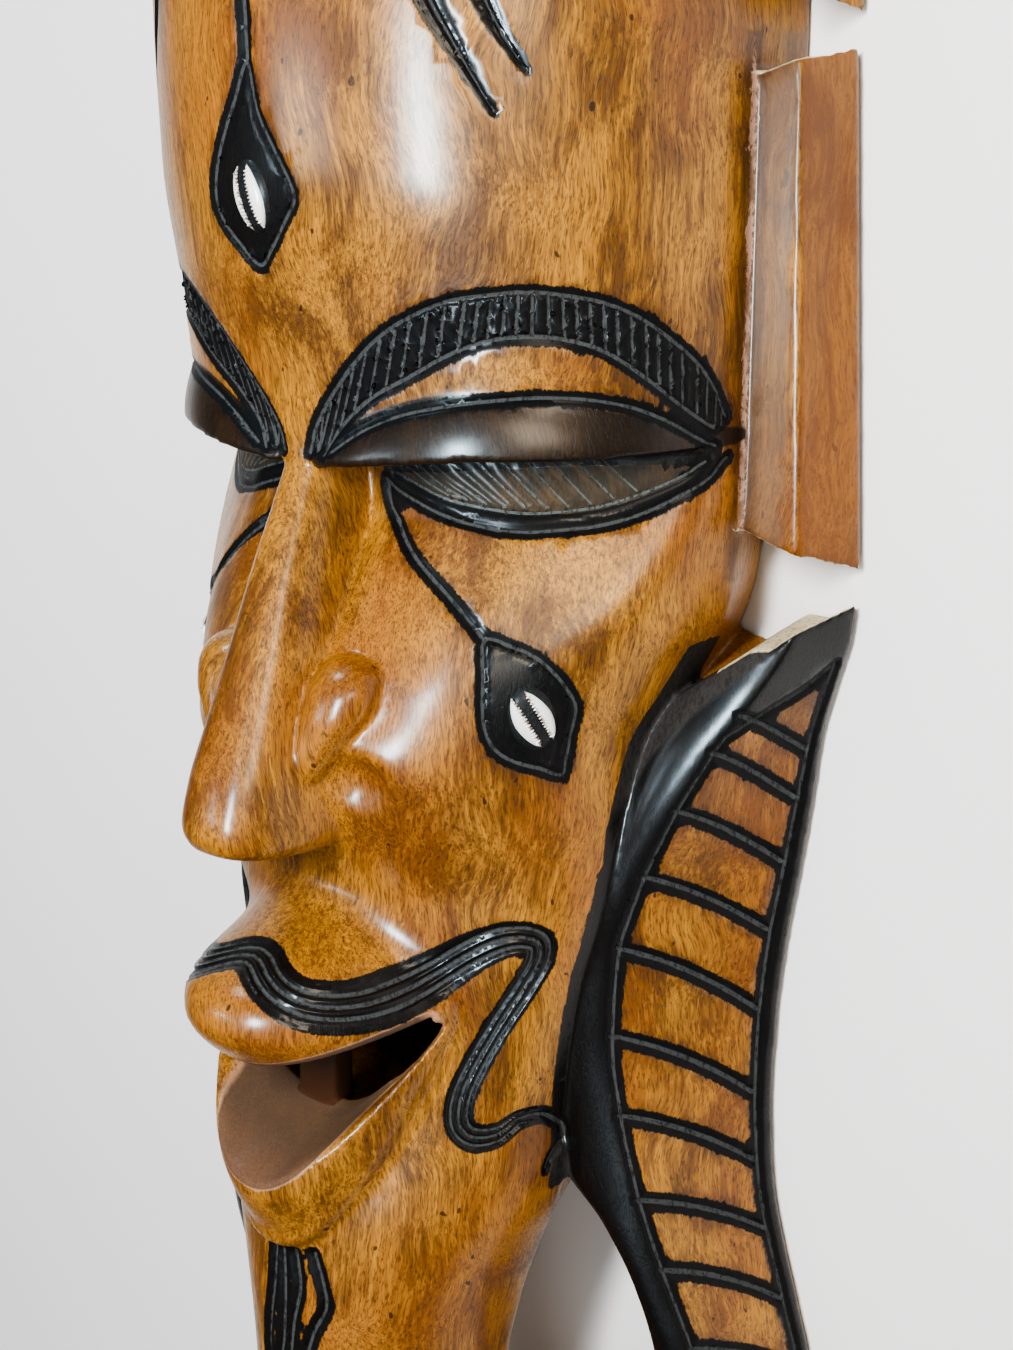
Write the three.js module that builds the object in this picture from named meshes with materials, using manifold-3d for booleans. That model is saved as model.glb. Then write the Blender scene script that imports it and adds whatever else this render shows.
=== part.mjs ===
// A long african mask carved from one half log of hardwood, with three cowrie shells set in it.
// It lies on its open back: +Z is out of the face, +Y the top of the head, +X the viewer's right.
// Sizes are in millimetres. Heights along the face are counted from the root of the nose.

import * as THREE from 'three';
import { mergeVertices } from 'three/addons/utils/BufferGeometryUtils.js';
import Module from 'manifold-3d';

const wasm = await Module();
wasm.setup();

// Driving sizes

// The open hollow behind the face: height, half width, depth
const hollowStations = [
  [-276, 44, 44],
  [-258, 46, 54],
  [-236, 48, 72],
  [-205, 54, 88],
  [-150, 62, 92],
  [-80, 72, 96],
  [-30, 86, 96],
  [130, 90, 100],
  [200, 80, 98],
  [245, 62, 84],
  [266, 44, 66],
];
const notchPull = 60;             // how far a sawn notch runs past the front and the back
const rootOfNose = 55;            // height of the root of the nose above the middle of the mask's length

// Half widths and depths of the head, from the chin to the crown:
// height, half width at the side valley, depth of that valley, depth of the crest
const headStations = [
  [-272, 61, 60, 130],
  [-252, 69, 63, 134],
  [-225, 71, 62, 127],
  [-187, 77, 61, 120],
  [-150, 85, 58, 119],
  [-115, 88, 51, 134],
  [-97, 90, 45, 141],
  [-75, 99, 35, 134],
  [-45, 110, 30, 125],
  [0, 113, 30, 122],
  [50, 113, 30, 129],
  [90, 113, 31, 137],
  [150, 112, 32, 139],
  [200, 105, 36, 132],
  [245, 90, 42, 121],
  [280, 68, 46, 104],
  [305, 44, 48, 86],
  [318, 24, 49, 70],
  [325, 8, 48, 54],
];

// The neck below the chin: height, half width, side depth, crest depth, depth of its free back
const neckStations = [
  [-228, 64, 58, 116, 30],
  [-252, 69.5, 64.5, 134.5, 42],
  [-270, 67, 66.5, 139.5, 50],
  [-290, 60, 67, 141, 58],
  [-311, 53, 68, 142, 62],
  [-345, 47, 71, 142, 66],
  [-380, 45, 68, 135, 58],
  [-412, 42, 56, 122, 38],
  [-436, 37, 40, 98, 12],
  [-458, 28, 22, 60, 0],
];

// Horned side pieces below the lower notch: height, inner edge and its depth,
// arris and its depth, outer back edge, inner edge at the back
const wingStations = [
  [-43, 99, 30, 137, 28, 142, 95],
  [-58, 96, 32, 134, 30, 141, 92],
  [-77, 92, 38, 126, 38, 136, 86],
  [-97, 84, 46, 115, 46, 131, 80],
  [-122, 80, 52, 103, 53, 128, 76],
  [-150, 78, 57, 92, 57, 124, 72],
  [-175, 72, 60, 86, 60, 120, 68],
  [-205, 66, 61, 85, 61, 117, 62],
  [-235, 62, 61, 90, 61, 116, 58],
  [-258, 64, 61, 97, 61, 117, 64],
  [-275, 82, 60, 103, 60, 119, 84],
  [-295, 95, 58, 111, 58, 124, 97],
  [-318, 102, 55, 121, 56, 131, 104],
  [-345, 105, 50, 128, 52, 138, 107],
  [-375, 100, 44, 126, 47, 139, 102],
  [-402, 84, 38, 111, 42, 127, 86],
  [-426, 56, 34, 84, 38, 102, 58],
  [-444, 16, 30, 54, 34, 76, 16],
  [-460, -4, 22, 28, 25, 40, -4],
];
const hornSwell = 4;              // how far the black horn band stands above its arris

// Straight side panels between the notches: height, arris and its depth, outer back edge
const panelStations = [
  [-43, 134, 28, 143],
  [132, 128, 29, 133],
];

// Outlines of the sawn notches, seen from the front
const lowerNotch = [
  [90, -17], [114, -25], [135, -32], [146, -41], [160, -41], [160, -45], [146, -45], [122, -62], [90, -79],
];
const upperNotch = [
  [90, 112], [113, 119], [129, 124], [136, 130], [160, 130], [160, 134], [136, 135], [128, 142], [118, 155],
  [90, 182],
];

// Arch over the crown: inner edge, arris and outer edge, each across, up and deep
const archStations = [
  [[100, 131, 30], [128, 131, 29], [134, 131, 4]],
  [[99, 158, 32], [125, 158, 33], [134, 158, 4]],
  [[94, 182, 38], [117, 184, 41], [131, 186, 4]],
  [[86, 208, 46], [107, 212, 50], [126, 217, 4]],
  [[74, 234, 50], [95, 244, 56], [118, 254, 4]],
  [[58, 258, 50], [77, 272, 58], [104, 291, 4]],
  [[38, 276, 50], [52, 294, 58], [77, 324, 4]],
  [[16, 286, 50], [22, 306, 58], [36, 345, 4]],
  [[-4, 288, 50], [-4, 309, 58], [-4, 350, 4]],
];

// Nose: height, half width at the root, half width of the flat of the ridge, depth of the ridge
const noseStations = [
  [4, 9, 4, 120],
  [-4, 10, 5, 123],
  [-35, 13, 6, 138],
  [-60, 16, 8, 148],
  [-84, 19, 11, 158],
  [-106, 21, 14, 167],
  [-120, 21, 15, 170],
  [-127, 19, 13, 166],
  [-131, 15, 9, 154],
];
const noseWing = { across: 25, height: -80, depth: 129, halfSize: [13, 18, 14] };

// Eye: across, slit height, depth of the cut at the slit, height of the cheekbone ridge and its depth
const eyeStations = [
  [0, -4, 98, -88, 140],
  [20, -2, 99, -84, 138],
  [38, 0, 99, -81, 129],
  [56, 2, 91, -75, 119],
  [70, 3, 82, -72, 106],
  [85, 3, 70, -59, 89],
  [101, 4, 56, -39, 68],
  [111, 5, 46, -17, 50],
  [116, 6, 38, 0, 40],
];
const shelfDepth = 20;           // height of the lower lid, which stands steep under the slit
const lidRise = 7;
const lidHeight = 21;
const lidInner = 8;
const lidOuter = 113;

// Mouth
const mouthHalfWidth = 50;
const mouthCorner = { height: -188, depth: 107 };
// Upper lip in section on the centre line, from the philtrum round the front to the inside: height, depth
const upperLip = [
  [-140, 106], [-151, 119], [-159, 130], [-165, 143], [-170, 156], [-178, 167], [-190, 167], [-202, 157],
  [-207, 148], [-206, 134], [-202, 98],
];
// Lower lip in section, from inside the mouth along the scoop and round the rim to the chin: height, depth
const lowerLip = [
  [-220, 92], [-232, 120], [-246, 152], [-251, 155], [-260, 153], [-272, 147], [-281, 140], [-284, 92],
];
const mouthRoof = -204;
// Floor of the mouth: it drops behind the lip into the hollow: depth, height
const mouthFloor = [[40, -238], [106, -241], [117, -228], [190, -266]];
const toothBlock = { halfWidth: 9.5, top: -194, bottom: -239, back: 111, front: 121 };

// Cut lines of the ornament on the viewer's right half, drawn from the front: across, height
const browOuterLine = [[6, 2], [15, 20], [35, 40], [63, 54], [88, 55], [105, 40], [112, 14]];
const browInnerLine = [[17, 6], [36, 24], [63, 39], [86, 41], [102, 29], [110, 10]];
const browHatches = 8;
const lidLine = [[17, 2], [43, 17], [72, 23], [94, 21], [109, 6]];
const lowerLidLine = [[22, -9], [35, -18], [60, -22], [83, -20], [103, -13], [111, 0]];
const cheekCordLine = [[22, -11], [28, -24], [42, -34], [57, -46], [65, -55]];
const cheekTearLine = [[66, -56], [68, -80], [72, -93], [82, -102], [87, -79], [79, -61]];
const cheekShell = { across: 78, height: -81, tilt: 0.33 };
const foreheadCordLine = [[0, 204], [-1, 160], [0, 122]];
const foreheadTearLine = [[0, 122], [-14, 101], [-22, 81], [-13, 67], [-4, 60], [10, 74], [16, 83], [9, 98]];
const foreheadShell = { across: -2.5, height: 82, tilt: 0.04 };
const fringeLines = [
  [[42, 196], [61, 139], [75, 108]],
  [[58, 190], [73, 139], [82, 119]],
];
const moustacheLine = [
  [0, -170], [15, -174], [30, -179], [44, -177], [60, -162], [72, -159], [76, -167], [68, -187], [57, -208],
  [54, -226], [57, -236], [64, -232], [69, -239], [70, -249],
];
const beardLines = [
  [[5, -283], [3, -310], [6, -340], [3, -372]],
  [[15, -281], [17, -302], [14, -330], [17, -360]],
];
const hairlineLine = [[0, 206], [30, 202], [62, 186], [90, 158]];
const lockLines = [
  [[0, 210], [0, 280]],
  [[22, 206], [16, 274]],
  [[44, 198], [34, 264]],
  [[66, 185], [52, 250]],
  [[84, 168], [70, 232]],
];

// Rungs of the ladder: height at the arris and how far each falls to the back edge
const wingRungs = [
  [-84, 21], [-97, 27], [-118, 31], [-143, 33], [-170, 38], [-203, 38], [-232, 35], [-262, 30], [-287, 31],
  [-315, 30], [-343, 30], [-371, 28], [-398, 26],
];
const archRungs = { first: 1.6, last: 7, count: 9 };

// Widths and depths of the cuts
const lineCut = { width: 4.4, depth: 2.4 };
const rungCut = { width: 5, depth: 2.6 };
const hatchCut = { width: 3.4, depth: 1.5 };
const fringeCut = { width: 7, depth: 2.6 };
const moustacheCut = { width: 13, depth: 2.2, flutes: 2 };
const cutLift = 3;                // how far a cutter reaches out of the surface

// Cowrie shells, bedded in the wood with their mouths showing
const shellHalfSize = [8, 11.5, 4.2];
const shellSink = 1.6;
const shellGap = 0.3;

const faceArcSteps = 12;
const headStep = 60;
const wingStep = 40;
const noseStep = 22;
const socketStep = 12;
const cutStep = 24;

// Small tools

const mirrored = [1, -1];

function geometryOf(points, triangles) {
  const geometry = new THREE.BufferGeometry();
  const numbers = points.flatMap((p) => [p.x, p.y, p.z]);
  geometry.setAttribute('position', new THREE.Float32BufferAttribute(numbers, 3));
  geometry.setIndex(triangles);
  return geometry;
}

function volumeOf(points, triangles) {
  let volume = 0;
  const product = new THREE.Vector3();
  for (let i = 0; i < triangles.length; i += 3) {
    product.crossVectors(points[triangles[i + 1]], points[triangles[i + 2]]);
    volume += product.dot(points[triangles[i]]) / 6;
  }
  return volume;
}

// A closed body through rings of points that all have the same number of points
function loft(rings) {
  const count = rings[0].length;
  const points = rings.flat();
  const triangles = [];
  for (let r = 0; r + 1 < rings.length; r += 1) {
    for (let i = 0; i < count; i += 1) {
      const a = r * count + i;
      const b = r * count + ((i + 1) % count);
      triangles.push(a, b, b + count, a, b + count, a + count);
    }
  }
  for (const [ring, turned] of [[0, true], [rings.length - 1, false]]) {
    const centre = points.length;
    const middle = new THREE.Vector3();
    rings[ring].forEach((p) => middle.addScaledVector(p, 1 / count));
    points.push(middle);
    for (let i = 0; i < count; i += 1) {
      const a = ring * count + i;
      const b = ring * count + ((i + 1) % count);
      triangles.push(...(turned ? [b, a, centre] : [a, b, centre]));
    }
  }
  if (volumeOf(points, triangles) < 0) triangles.reverse();
  return solid(geometryOf(points, triangles));
}

function solid(geometry) {
  const bare = geometry.clone();
  bare.deleteAttribute('normal');
  bare.deleteAttribute('uv');
  const merged = mergeVertices(bare, 1e-4);
  return new wasm.Manifold(new wasm.Mesh({
    numProp: 3,
    vertProperties: new Float32Array(merged.attributes.position.array),
    triVerts: new Uint32Array(merged.index.array),
  }));
}

function geometryFrom(body) {
  const mesh = body.getMesh();
  const geometry = new THREE.BufferGeometry();
  geometry.setAttribute('position', new THREE.BufferAttribute(new Float32Array(mesh.vertProperties), 3));
  geometry.setIndex(Array.from(mesh.triVerts));
  return geometry;
}

function prism(outline, bottom, top) {
  const shape = new THREE.Shape(outline.map(([x, y]) => new THREE.Vector2(x, y)));
  const geometry = new THREE.ExtrudeGeometry(shape, { depth: top - bottom, bevelEnabled: false });
  return solid(geometry.translate(0, 0, bottom));
}

const flip = (points, side) => points.map(([x, y, ...rest]) => [x * side, y, ...rest]);

// The row of a table of stations at t, on a smooth curve that never overshoots its stations
function stationAt(stations, t) {
  const rows = stations[0][0] < stations[stations.length - 1][0] ? stations : [...stations].reverse();
  const last = rows.length - 1;
  if (t <= rows[0][0]) return rows[0];
  if (t >= rows[last][0]) return rows[last];
  const i = rows.findIndex((row) => row[0] > t) - 1;
  const step = rows[i + 1][0] - rows[i][0];
  const u = (t - rows[i][0]) / step;
  const slope = (j, k) => (rows[j + 1][k] - rows[j][k]) / (rows[j + 1][0] - rows[j][0]);
  const tangent = (j, k) => {
    if (j === 0) return slope(0, k);
    if (j === last) return slope(last - 1, k);
    const before = slope(j - 1, k);
    const after = slope(j, k);
    return before * after <= 0 ? 0 : (2 * before * after) / (before + after);
  };
  return rows[i].map((value, k) => (k === 0 ? t
    : value * (1 + 2 * u) * (1 - u) ** 2 + rows[i + 1][k] * (3 - 2 * u) * u ** 2
      + step * u * (1 - u) * (tangent(i, k) * (1 - u) - tangent(i + 1, k) * u)));
}

// The stations themselves, with more between them where they lie further apart than the step
function stationsEvery(stations, step) {
  const rows = stations.slice(0, 1);
  for (let i = 0; i + 1 < stations.length; i += 1) {
    const from = stations[i][0];
    const to = stations[i + 1][0];
    const count = Math.ceil(Math.abs(to - from) / step);
    for (let k = 1; k <= count; k += 1) rows.push(stationAt(stations, from + ((to - from) * k) / count));
  }
  return rows;
}

// The head: a dome whose front is half an ellipse over the side valleys
function domeRing(y, halfWidth, valley, crest, back, backHalfWidth) {
  const ring = [new THREE.Vector3(-backHalfWidth, y, back)];
  for (let i = 0; i <= faceArcSteps; i += 1) {
    const angle = Math.PI * (1 - i / faceArcSteps);
    const depth = valley + (crest - valley) * Math.sin(angle);
    ring.push(new THREE.Vector3(halfWidth * Math.cos(angle), y, depth));
  }
  ring.push(new THREE.Vector3(backHalfWidth, y, back));
  return ring;
}

function head() {
  return loft(stationsEvery(headStations, headStep).map(([y, w, valley, crest]) => {
    const flare = Math.min(1, Math.max(0, (y + 50) / 180));
    return domeRing(y, w, valley, crest, 0, w - 10 + 11 * flare);
  }));
}

function neck() {
  return loft(stationsEvery(neckStations, headStep).map(
    ([y, w, side, crest, back]) => domeRing(y, w, side, crest, back, w - 6),
  ));
}

function wing(side) {
  return loft(stationsEvery(wingStations, wingStep).map(([y, inX, inZ, arrisX, arrisZ, outX, backX]) => [
    [backX, 0], [inX, inZ], [inX + 0.62 * (arrisX - inX), arrisZ + hornSwell], [arrisX, arrisZ], [outX, 4],
    [outX - 2, 0],
  ].map(([x, z]) => new THREE.Vector3(side * x, y, z))));
}

function sidePanel(side) {
  return loft(panelStations.map(([y, arrisX, arrisZ, outX]) => [
    [96, 0], [96, 30], [arrisX - 20, 30], [arrisX, arrisZ], [outX, 5], [outX - 2, 0],
  ].map(([x, z]) => new THREE.Vector3(side * x, y, z))));
}

function arch(side) {
  return loft(archStations.map(([inner, arris, outer]) => [
    [inner[0] - 4, inner[1] - 4, 0], inner, arris, outer, [outer[0] - 1.5, outer[1] - 1.5, 0],
  ].map(([x, y, z]) => new THREE.Vector3(side * x, y, z))));
}

// Depth of the bare dome at a place on the face
function domeDepth(x, y) {
  const [, halfWidth, valley, crest] = stationAt(headStations, y);
  const across = Math.min(1, Math.abs(x) / halfWidth);
  return valley + (crest - valley) * Math.sqrt(1 - across * across);
}

// The socket: everything in front of the under-eye plane, from the slit down past the cheekbone ridge
function socket(side) {
  const inFront = 230;
  const below = -150;
  return loft(stationsEvery(eyeStations, socketStep).map(([x, slit, deep, ridge, ridgeDepth]) => {
    const shelf = slit - shelfDepth;
    const slope = (ridgeDepth - deep - 2) / (ridge - shelf);
    return [
      [slit, deep], [slit, inFront], [below, inFront],
      [below, ridgeDepth + slope * (below - ridge)], [shelf, deep + 2],
    ].map(([y, z]) => new THREE.Vector3(side * x, y, z));
  }));
}

function lid(side) {
  const rings = [];
  const steps = 9;
  for (let i = 0; i <= steps; i += 1) {
    const x = lidInner + (lidOuter - lidInner) * (i / steps);
    const swell = Math.sin(Math.PI * (0.04 + 0.92 * (i / steps))) ** 0.7;
    const [, slit] = stationAt(eyeStations, x);
    const top = slit + lidHeight * swell;
    const middle = slit + 0.5 * lidHeight * swell;
    rings.push([
      [slit, domeDepth(x, slit) - 14],
      [slit, domeDepth(x, slit) + lidRise * swell],
      [middle, domeDepth(x, middle) + 0.75 * lidRise * swell],
      [top, domeDepth(x, top) - 0.5],
      [top, domeDepth(x, top) - 14],
    ].map(([y, z]) => new THREE.Vector3(side * x, y, z)));
  }
  return loft(rings);
}

function nose() {
  return loft(stationsEvery(noseStations, noseStep).map(([y, root, ridge, depth]) => [
    [-root, 84], [-root, depth - 2.2 * root], [-ridge, depth - 0.35 * ridge], [0, depth],
    [ridge, depth - 0.35 * ridge], [root, depth - 2.2 * root], [root, 84],
  ].map(([x, z]) => new THREE.Vector3(x, y, z))));
}

function noseWingOn(side) {
  const geometry = new THREE.SphereGeometry(1, 9, 6);
  geometry.scale(...noseWing.halfSize);
  geometry.translate(side * noseWing.across, noseWing.height, noseWing.depth);
  return solid(geometry);
}

// Lips: the section on the centre line shrinks along a bow towards the corners
function lip(section, depthAtCorner) {
  const rings = [];
  const steps = 10;
  for (let i = 0; i <= steps; i += 1) {
    const across = -1 + (2 * i) / steps;
    const bow = (1 - Math.abs(across) ** 2.2) * 0.94 + 0.06;
    rings.push(section.map(([y, z]) => new THREE.Vector3(
      across * (mouthHalfWidth + 3),
      mouthCorner.height + (y - mouthCorner.height) * bow,
      depthAtCorner + (z - depthAtCorner) * bow,
    )));
  }
  return loft(rings);
}

function mouthOpening() {
  const steps = 8;
  return loft(mouthFloor.map(([z, floor]) => {
    const roofLine = [];
    const floorLine = [];
    for (let i = 0; i <= steps; i += 1) {
      const across = -1 + (2 * i) / steps;
      roofLine.push([across, mouthRoof + (mouthCorner.height - mouthRoof) * across ** 2 + 0.5]);
      floorLine.unshift([across, floor + (mouthCorner.height - floor) * across ** 4 - 0.5]);
    }
    return [...roofLine, ...floorLine].map(
      ([across, y]) => new THREE.Vector3(across * mouthHalfWidth, y, z),
    );
  }));
}

function tooth() {
  const { halfWidth, top, bottom, back, front } = toothBlock;
  const geometry = new THREE.BoxGeometry(2 * halfWidth, top - bottom, front - back);
  return solid(geometry.translate(0, (top + bottom) / 2, (front + back) / 2));
}

function hollow() {
  const steps = 10;
  return loft(hollowStations.map(([y, halfWidth, depth]) => {
    const ring = [new THREE.Vector3(halfWidth, y, -1)];
    for (let k = 0; k <= steps; k += 1) {
      const angle = (Math.PI * k) / steps;
      ring.push(new THREE.Vector3(halfWidth * Math.cos(angle), y, 6 + (depth - 6) * Math.sin(angle)));
    }
    ring.push(new THREE.Vector3(-halfWidth, y, -1));
    return ring;
  }));
}

function sidePieces(side) {
  let pieces = wing(side).add(sidePanel(side)).add(arch(side));
  for (const notch of [lowerNotch, upperNotch]) {
    pieces = pieces.subtract(prism(flip(notch, side), -notchPull, notchPull));
  }
  return pieces;
}

// Carved lines

// A V-shaped cutter along places on the surface; several flutes make a band of ridges
function cutter(path, { width, depth, flutes = 1 }, { closed = false, widthAt = () => 1 } = {}) {
  const count = path.length;
  const rings = path.map(({ place, normal }, i) => {
    const before = path[closed ? (i + count - 1) % count : Math.max(0, i - 1)].place;
    const after = path[closed ? (i + 1) % count : Math.min(count - 1, i + 1)].place;
    const across = new THREE.Vector3().subVectors(after, before).cross(normal).normalize();
    const half = (width / 2) * widthAt(i / (count - 1));
    const at = (share, rise) => place.clone()
      .addScaledVector(across, share * half)
      .addScaledVector(normal, rise);
    const spread = flutes === 1 ? 1 + cutLift / depth : 1.1;
    const ring = [at(-spread, cutLift)];
    for (let k = 0; k < flutes; k += 1) {
      ring.push(at(-1 + (2 * k + 1) / flutes, -depth));
      if (k + 1 < flutes) ring.push(at(-1 + (2 * k + 2) / flutes, -0.25 * depth));
    }
    ring.push(at(spread, cutLift));
    return ring;
  });
  return closed ? ringLoft(rings) : loft(rings);
}

// A body through rings that come back to the first one
function ringLoft(rings) {
  const count = rings[0].length;
  const points = rings.flat();
  const triangles = [];
  rings.forEach((_, r) => {
    for (let i = 0; i < count; i += 1) {
      const next = (i + 1) % count;
      const a = r * count;
      const b = ((r + 1) % rings.length) * count;
      triangles.push(a + i, a + next, b + next, a + i, b + next, b + i);
    }
  });
  if (volumeOf(points, triangles) < 0) triangles.reverse();
  return solid(geometryOf(points, triangles));
}

// Places on the face under a line drawn from the front
function surfaceOf(body) {
  const geometry = geometryFrom(body);
  const target = new THREE.Mesh(geometry, new THREE.MeshBasicMaterial({ side: THREE.DoubleSide }));
  const caster = new THREE.Raycaster();
  const down = new THREE.Vector3(0, 0, -1);
  return (x, y) => {
    caster.set(new THREE.Vector3(x, y, 250), down);
    const [hit] = caster.intersectObject(target);
    return { place: hit.point, normal: hit.face.normal.clone() };
  };
}

function lineOnFace(surface, line, side, { closed = false, step = cutStep } = {}) {
  const spots = line.map(([x, y]) => new THREE.Vector3(side * x, y, 0));
  const curve = new THREE.CatmullRomCurve3(spots, closed, 'centripetal');
  const count = Math.max(1, Math.ceil(curve.getLength() / step));
  const path = curve.getSpacedPoints(count).map(({ x, y }) => surface(x, y));
  if (closed) path.pop();
  return path.map(({ place }, i) => {
    const normal = new THREE.Vector3();
    for (const k of [i - 1, i, i + 1]) {
      const near = closed ? (k + path.length) % path.length : THREE.MathUtils.clamp(k, 0, path.length - 1);
      normal.add(path[near].normal);
    }
    return { place, normal: normal.normalize() };
  });
}

// Places on the slanting ladder surface: share 0 is the arris, 1 the back edge
function wingSpot(side, y, share) {
  const [, , , arrisX, arrisZ, outX] = stationAt(wingStations, y);
  const across = THREE.MathUtils.lerp(arrisX, outX, share);
  return new THREE.Vector3(side * across, y, THREE.MathUtils.lerp(arrisZ, 4, share));
}

function archSpot(side, t, share) {
  const i = Math.min(archStations.length - 2, Math.floor(t));
  const [arris, outer] = [1, 2].map((k) => new THREE.Vector3(...archStations[i][k])
    .lerp(new THREE.Vector3(...archStations[i + 1][k]), t - i));
  const spot = arris.lerp(outer, share);
  spot.x *= side;
  return spot;
}

function lineOnLadder(spotAt, places) {
  const nudge = 0.02;
  return places.map(([t, share]) => {
    const place = spotAt(t, share);
    const along = spotAt(t + nudge, share).sub(spotAt(t - nudge, share));
    const across = spotAt(t, share + nudge).sub(spotAt(t, share - nudge));
    const normal = along.cross(across).normalize();
    return { place, normal: normal.z < 0 ? normal.negate() : normal };
  });
}

function span(from, to, count) {
  return Array.from({ length: count + 1 }, (_, i) => from + ((to - from) * i) / count);
}

function ladderCuts(side) {
  const onWing = (t, share) => wingSpot(side, t, share);
  const onArch = (t, share) => archSpot(side, t, share);
  const rungShares = [0.03, 0.96];
  const cuts = [];
  for (const [height, fall] of wingRungs) {
    const places = rungShares.map((share) => [height - fall * share * (0.6 + 0.4 * share), share]);
    cuts.push(cutter(lineOnLadder(onWing, places), rungCut));
  }
  for (const t of span(archRungs.first, archRungs.last, archRungs.count)) {
    const places = rungShares.map((share) => [t + 0.35 * (1 - share), share]);
    cuts.push(cutter(lineOnLadder(onArch, places), rungCut));
  }
  return cuts;
}

function browHatchCuts(surface, side) {
  const [outer, inner] = [browOuterLine, browInnerLine].map((line) => new THREE.CatmullRomCurve3(
    line.map(([x, y]) => new THREE.Vector3(x, y, 0)), false, 'centripetal'));
  return span(0.05, 0.95, browHatches).map((t) => {
    const from = outer.getPointAt(t).lerp(inner.getPointAt(t), 0.12);
    const to = inner.getPointAt(Math.max(0, t - 0.035)).lerp(outer.getPointAt(t), 0.12);
    const hatch = [[from.x, from.y], [to.x, to.y]];
    return cutter(lineOnFace(surface, hatch, side, { step: 24 }), hatchCut);
  });
}

function faceCuts(surface, side) {
  const line = (points, cut = lineCut, options = {}) => (
    cutter(lineOnFace(surface, points, side, options), cut, options));
  const taper = (t) => 0.45 + 0.55 * Math.min(1, (1 - t) * 1.6);
  return [
    ...[browOuterLine, browInnerLine, lidLine, lowerLidLine, cheekCordLine].map((points) => line(points)),
    line(cheekTearLine, lineCut, { closed: true }),
    ...browHatchCuts(surface, side),
    ...fringeLines.map((points) => line(points, fringeCut, { widthAt: (t) => 1.1 - 0.9 * t })),
    line(moustacheLine, moustacheCut, { step: 14, widthAt: taper }),
    ...beardLines.map((points) => line(points, lineCut, { step: 32 })),
    line(hairlineLine, lineCut, { step: 36 }),
    ...lockLines.slice(1).map((points) => line(points, lineCut, { step: 36 })),
  ];
}

function middleCuts(surface) {
  const closed = true;
  const lines = [foreheadCordLine, lockLines[0]];
  return [
    ...lines.map((points) => cutter(lineOnFace(surface, points, 1), lineCut)),
    cutter(lineOnFace(surface, foreheadTearLine, 1, { closed }), lineCut, { closed }),
  ];
}

// Cowrie shells: a low dome with a slit mouth along it
function shellBed(surface, { across, height, tilt }, side) {
  const { place } = surface(side * across, height);
  const normal = new THREE.Vector3();
  for (const [dx, dy] of [[6, 0], [-6, 0], [0, 8], [0, -8]]) {
    normal.add(surface(side * across + dx, height + dy).normal);
  }
  normal.normalize();
  const up = new THREE.Vector3(-side * Math.sin(tilt), Math.cos(tilt), 0);
  const right = new THREE.Vector3().crossVectors(up, normal).normalize();
  const along = new THREE.Vector3().crossVectors(normal, right);
  return new THREE.Matrix4().makeBasis(right, along, normal)
    .setPosition(place.clone().addScaledVector(normal, -shellSink));
}

function shellBody(grow) {
  const geometry = new THREE.SphereGeometry(1, 9, 6);
  geometry.scale(...shellHalfSize.map((half) => half + grow));
  return geometry;
}

function shell(bed) {
  const mouth = new THREE.SphereGeometry(1, 6, 5);
  mouth.scale(1.3, 0.86 * shellHalfSize[1], 2.4);
  mouth.translate(0, 0, shellHalfSize[2]);
  const body = solid(shellBody(0)).subtract(solid(mouth));
  const geometry = geometryFrom(body);
  return geometry.applyMatrix4(bed);
}

let wood = head();
for (const side of mirrored) wood = wood.subtract(socket(side)).add(lid(side));
wood = wood.add(nose()).add(neck());
for (const side of mirrored) wood = wood.add(noseWingOn(side)).add(sidePieces(side));
wood = wood.add(lip(upperLip, mouthCorner.depth)).add(lip(lowerLip, mouthCorner.depth));
wood = wood.subtract(mouthOpening()).subtract(hollow()).add(tooth());

const surface = surfaceOf(wood);
const shellBeds = {
  cowrie_forehead: shellBed(surface, foreheadShell, 1),
  cowrie_right_cheek: shellBed(surface, cheekShell, 1),
  cowrie_left_cheek: shellBed(surface, cheekShell, -1),
};
const cuts = [
  ...mirrored.flatMap((side) => [...faceCuts(surface, side), ...ladderCuts(side)]),
  ...middleCuts(surface),
];
for (const cut of cuts) wood = wood.subtract(cut);
for (const bed of Object.values(shellBeds)) {
  wood = wood.subtract(solid(shellBody(shellGap).applyMatrix4(bed)));
}
// Crumbs of wood left between crossing cuts fall away
[wood] = wood.decompose().sort((a, b) => b.volume() - a.volume());

const woodMaterial = new THREE.MeshStandardMaterial({ color: 0xa8662c, roughness: 0.35, metalness: 0 });
const shellMaterial = new THREE.MeshStandardMaterial({ color: 0xf3ead8, roughness: 0.3, metalness: 0 });
const mask = new THREE.Group();

function place(name, geometry, material) {
  const mesh = new THREE.Mesh(geometry.translate(0, rootOfNose, 0), material);
  mesh.name = name;
  mask.add(mesh);
}

place('mask', geometryFrom(wood), woodMaterial);
for (const [name, bed] of Object.entries(shellBeds)) place(name, shell(bed), shellMaterial);

export default mask;
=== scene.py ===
# %% [markdown]
# # A long carved mask with cowrie shells
#
# The real mask is one piece of hardwood, hollowed from behind, varnished, with its cut lines
# stained black and three cowrie shells bedded in it. This notebook makes its looks around the
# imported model, which is the frame that nothing here may move or outgrow.

# %% Load the frame
import math

import bmesh
import bpy
import numpy as np
import openvdb
from mathutils import Matrix, Vector
from mathutils.geometry import tessellate_polygon


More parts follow.
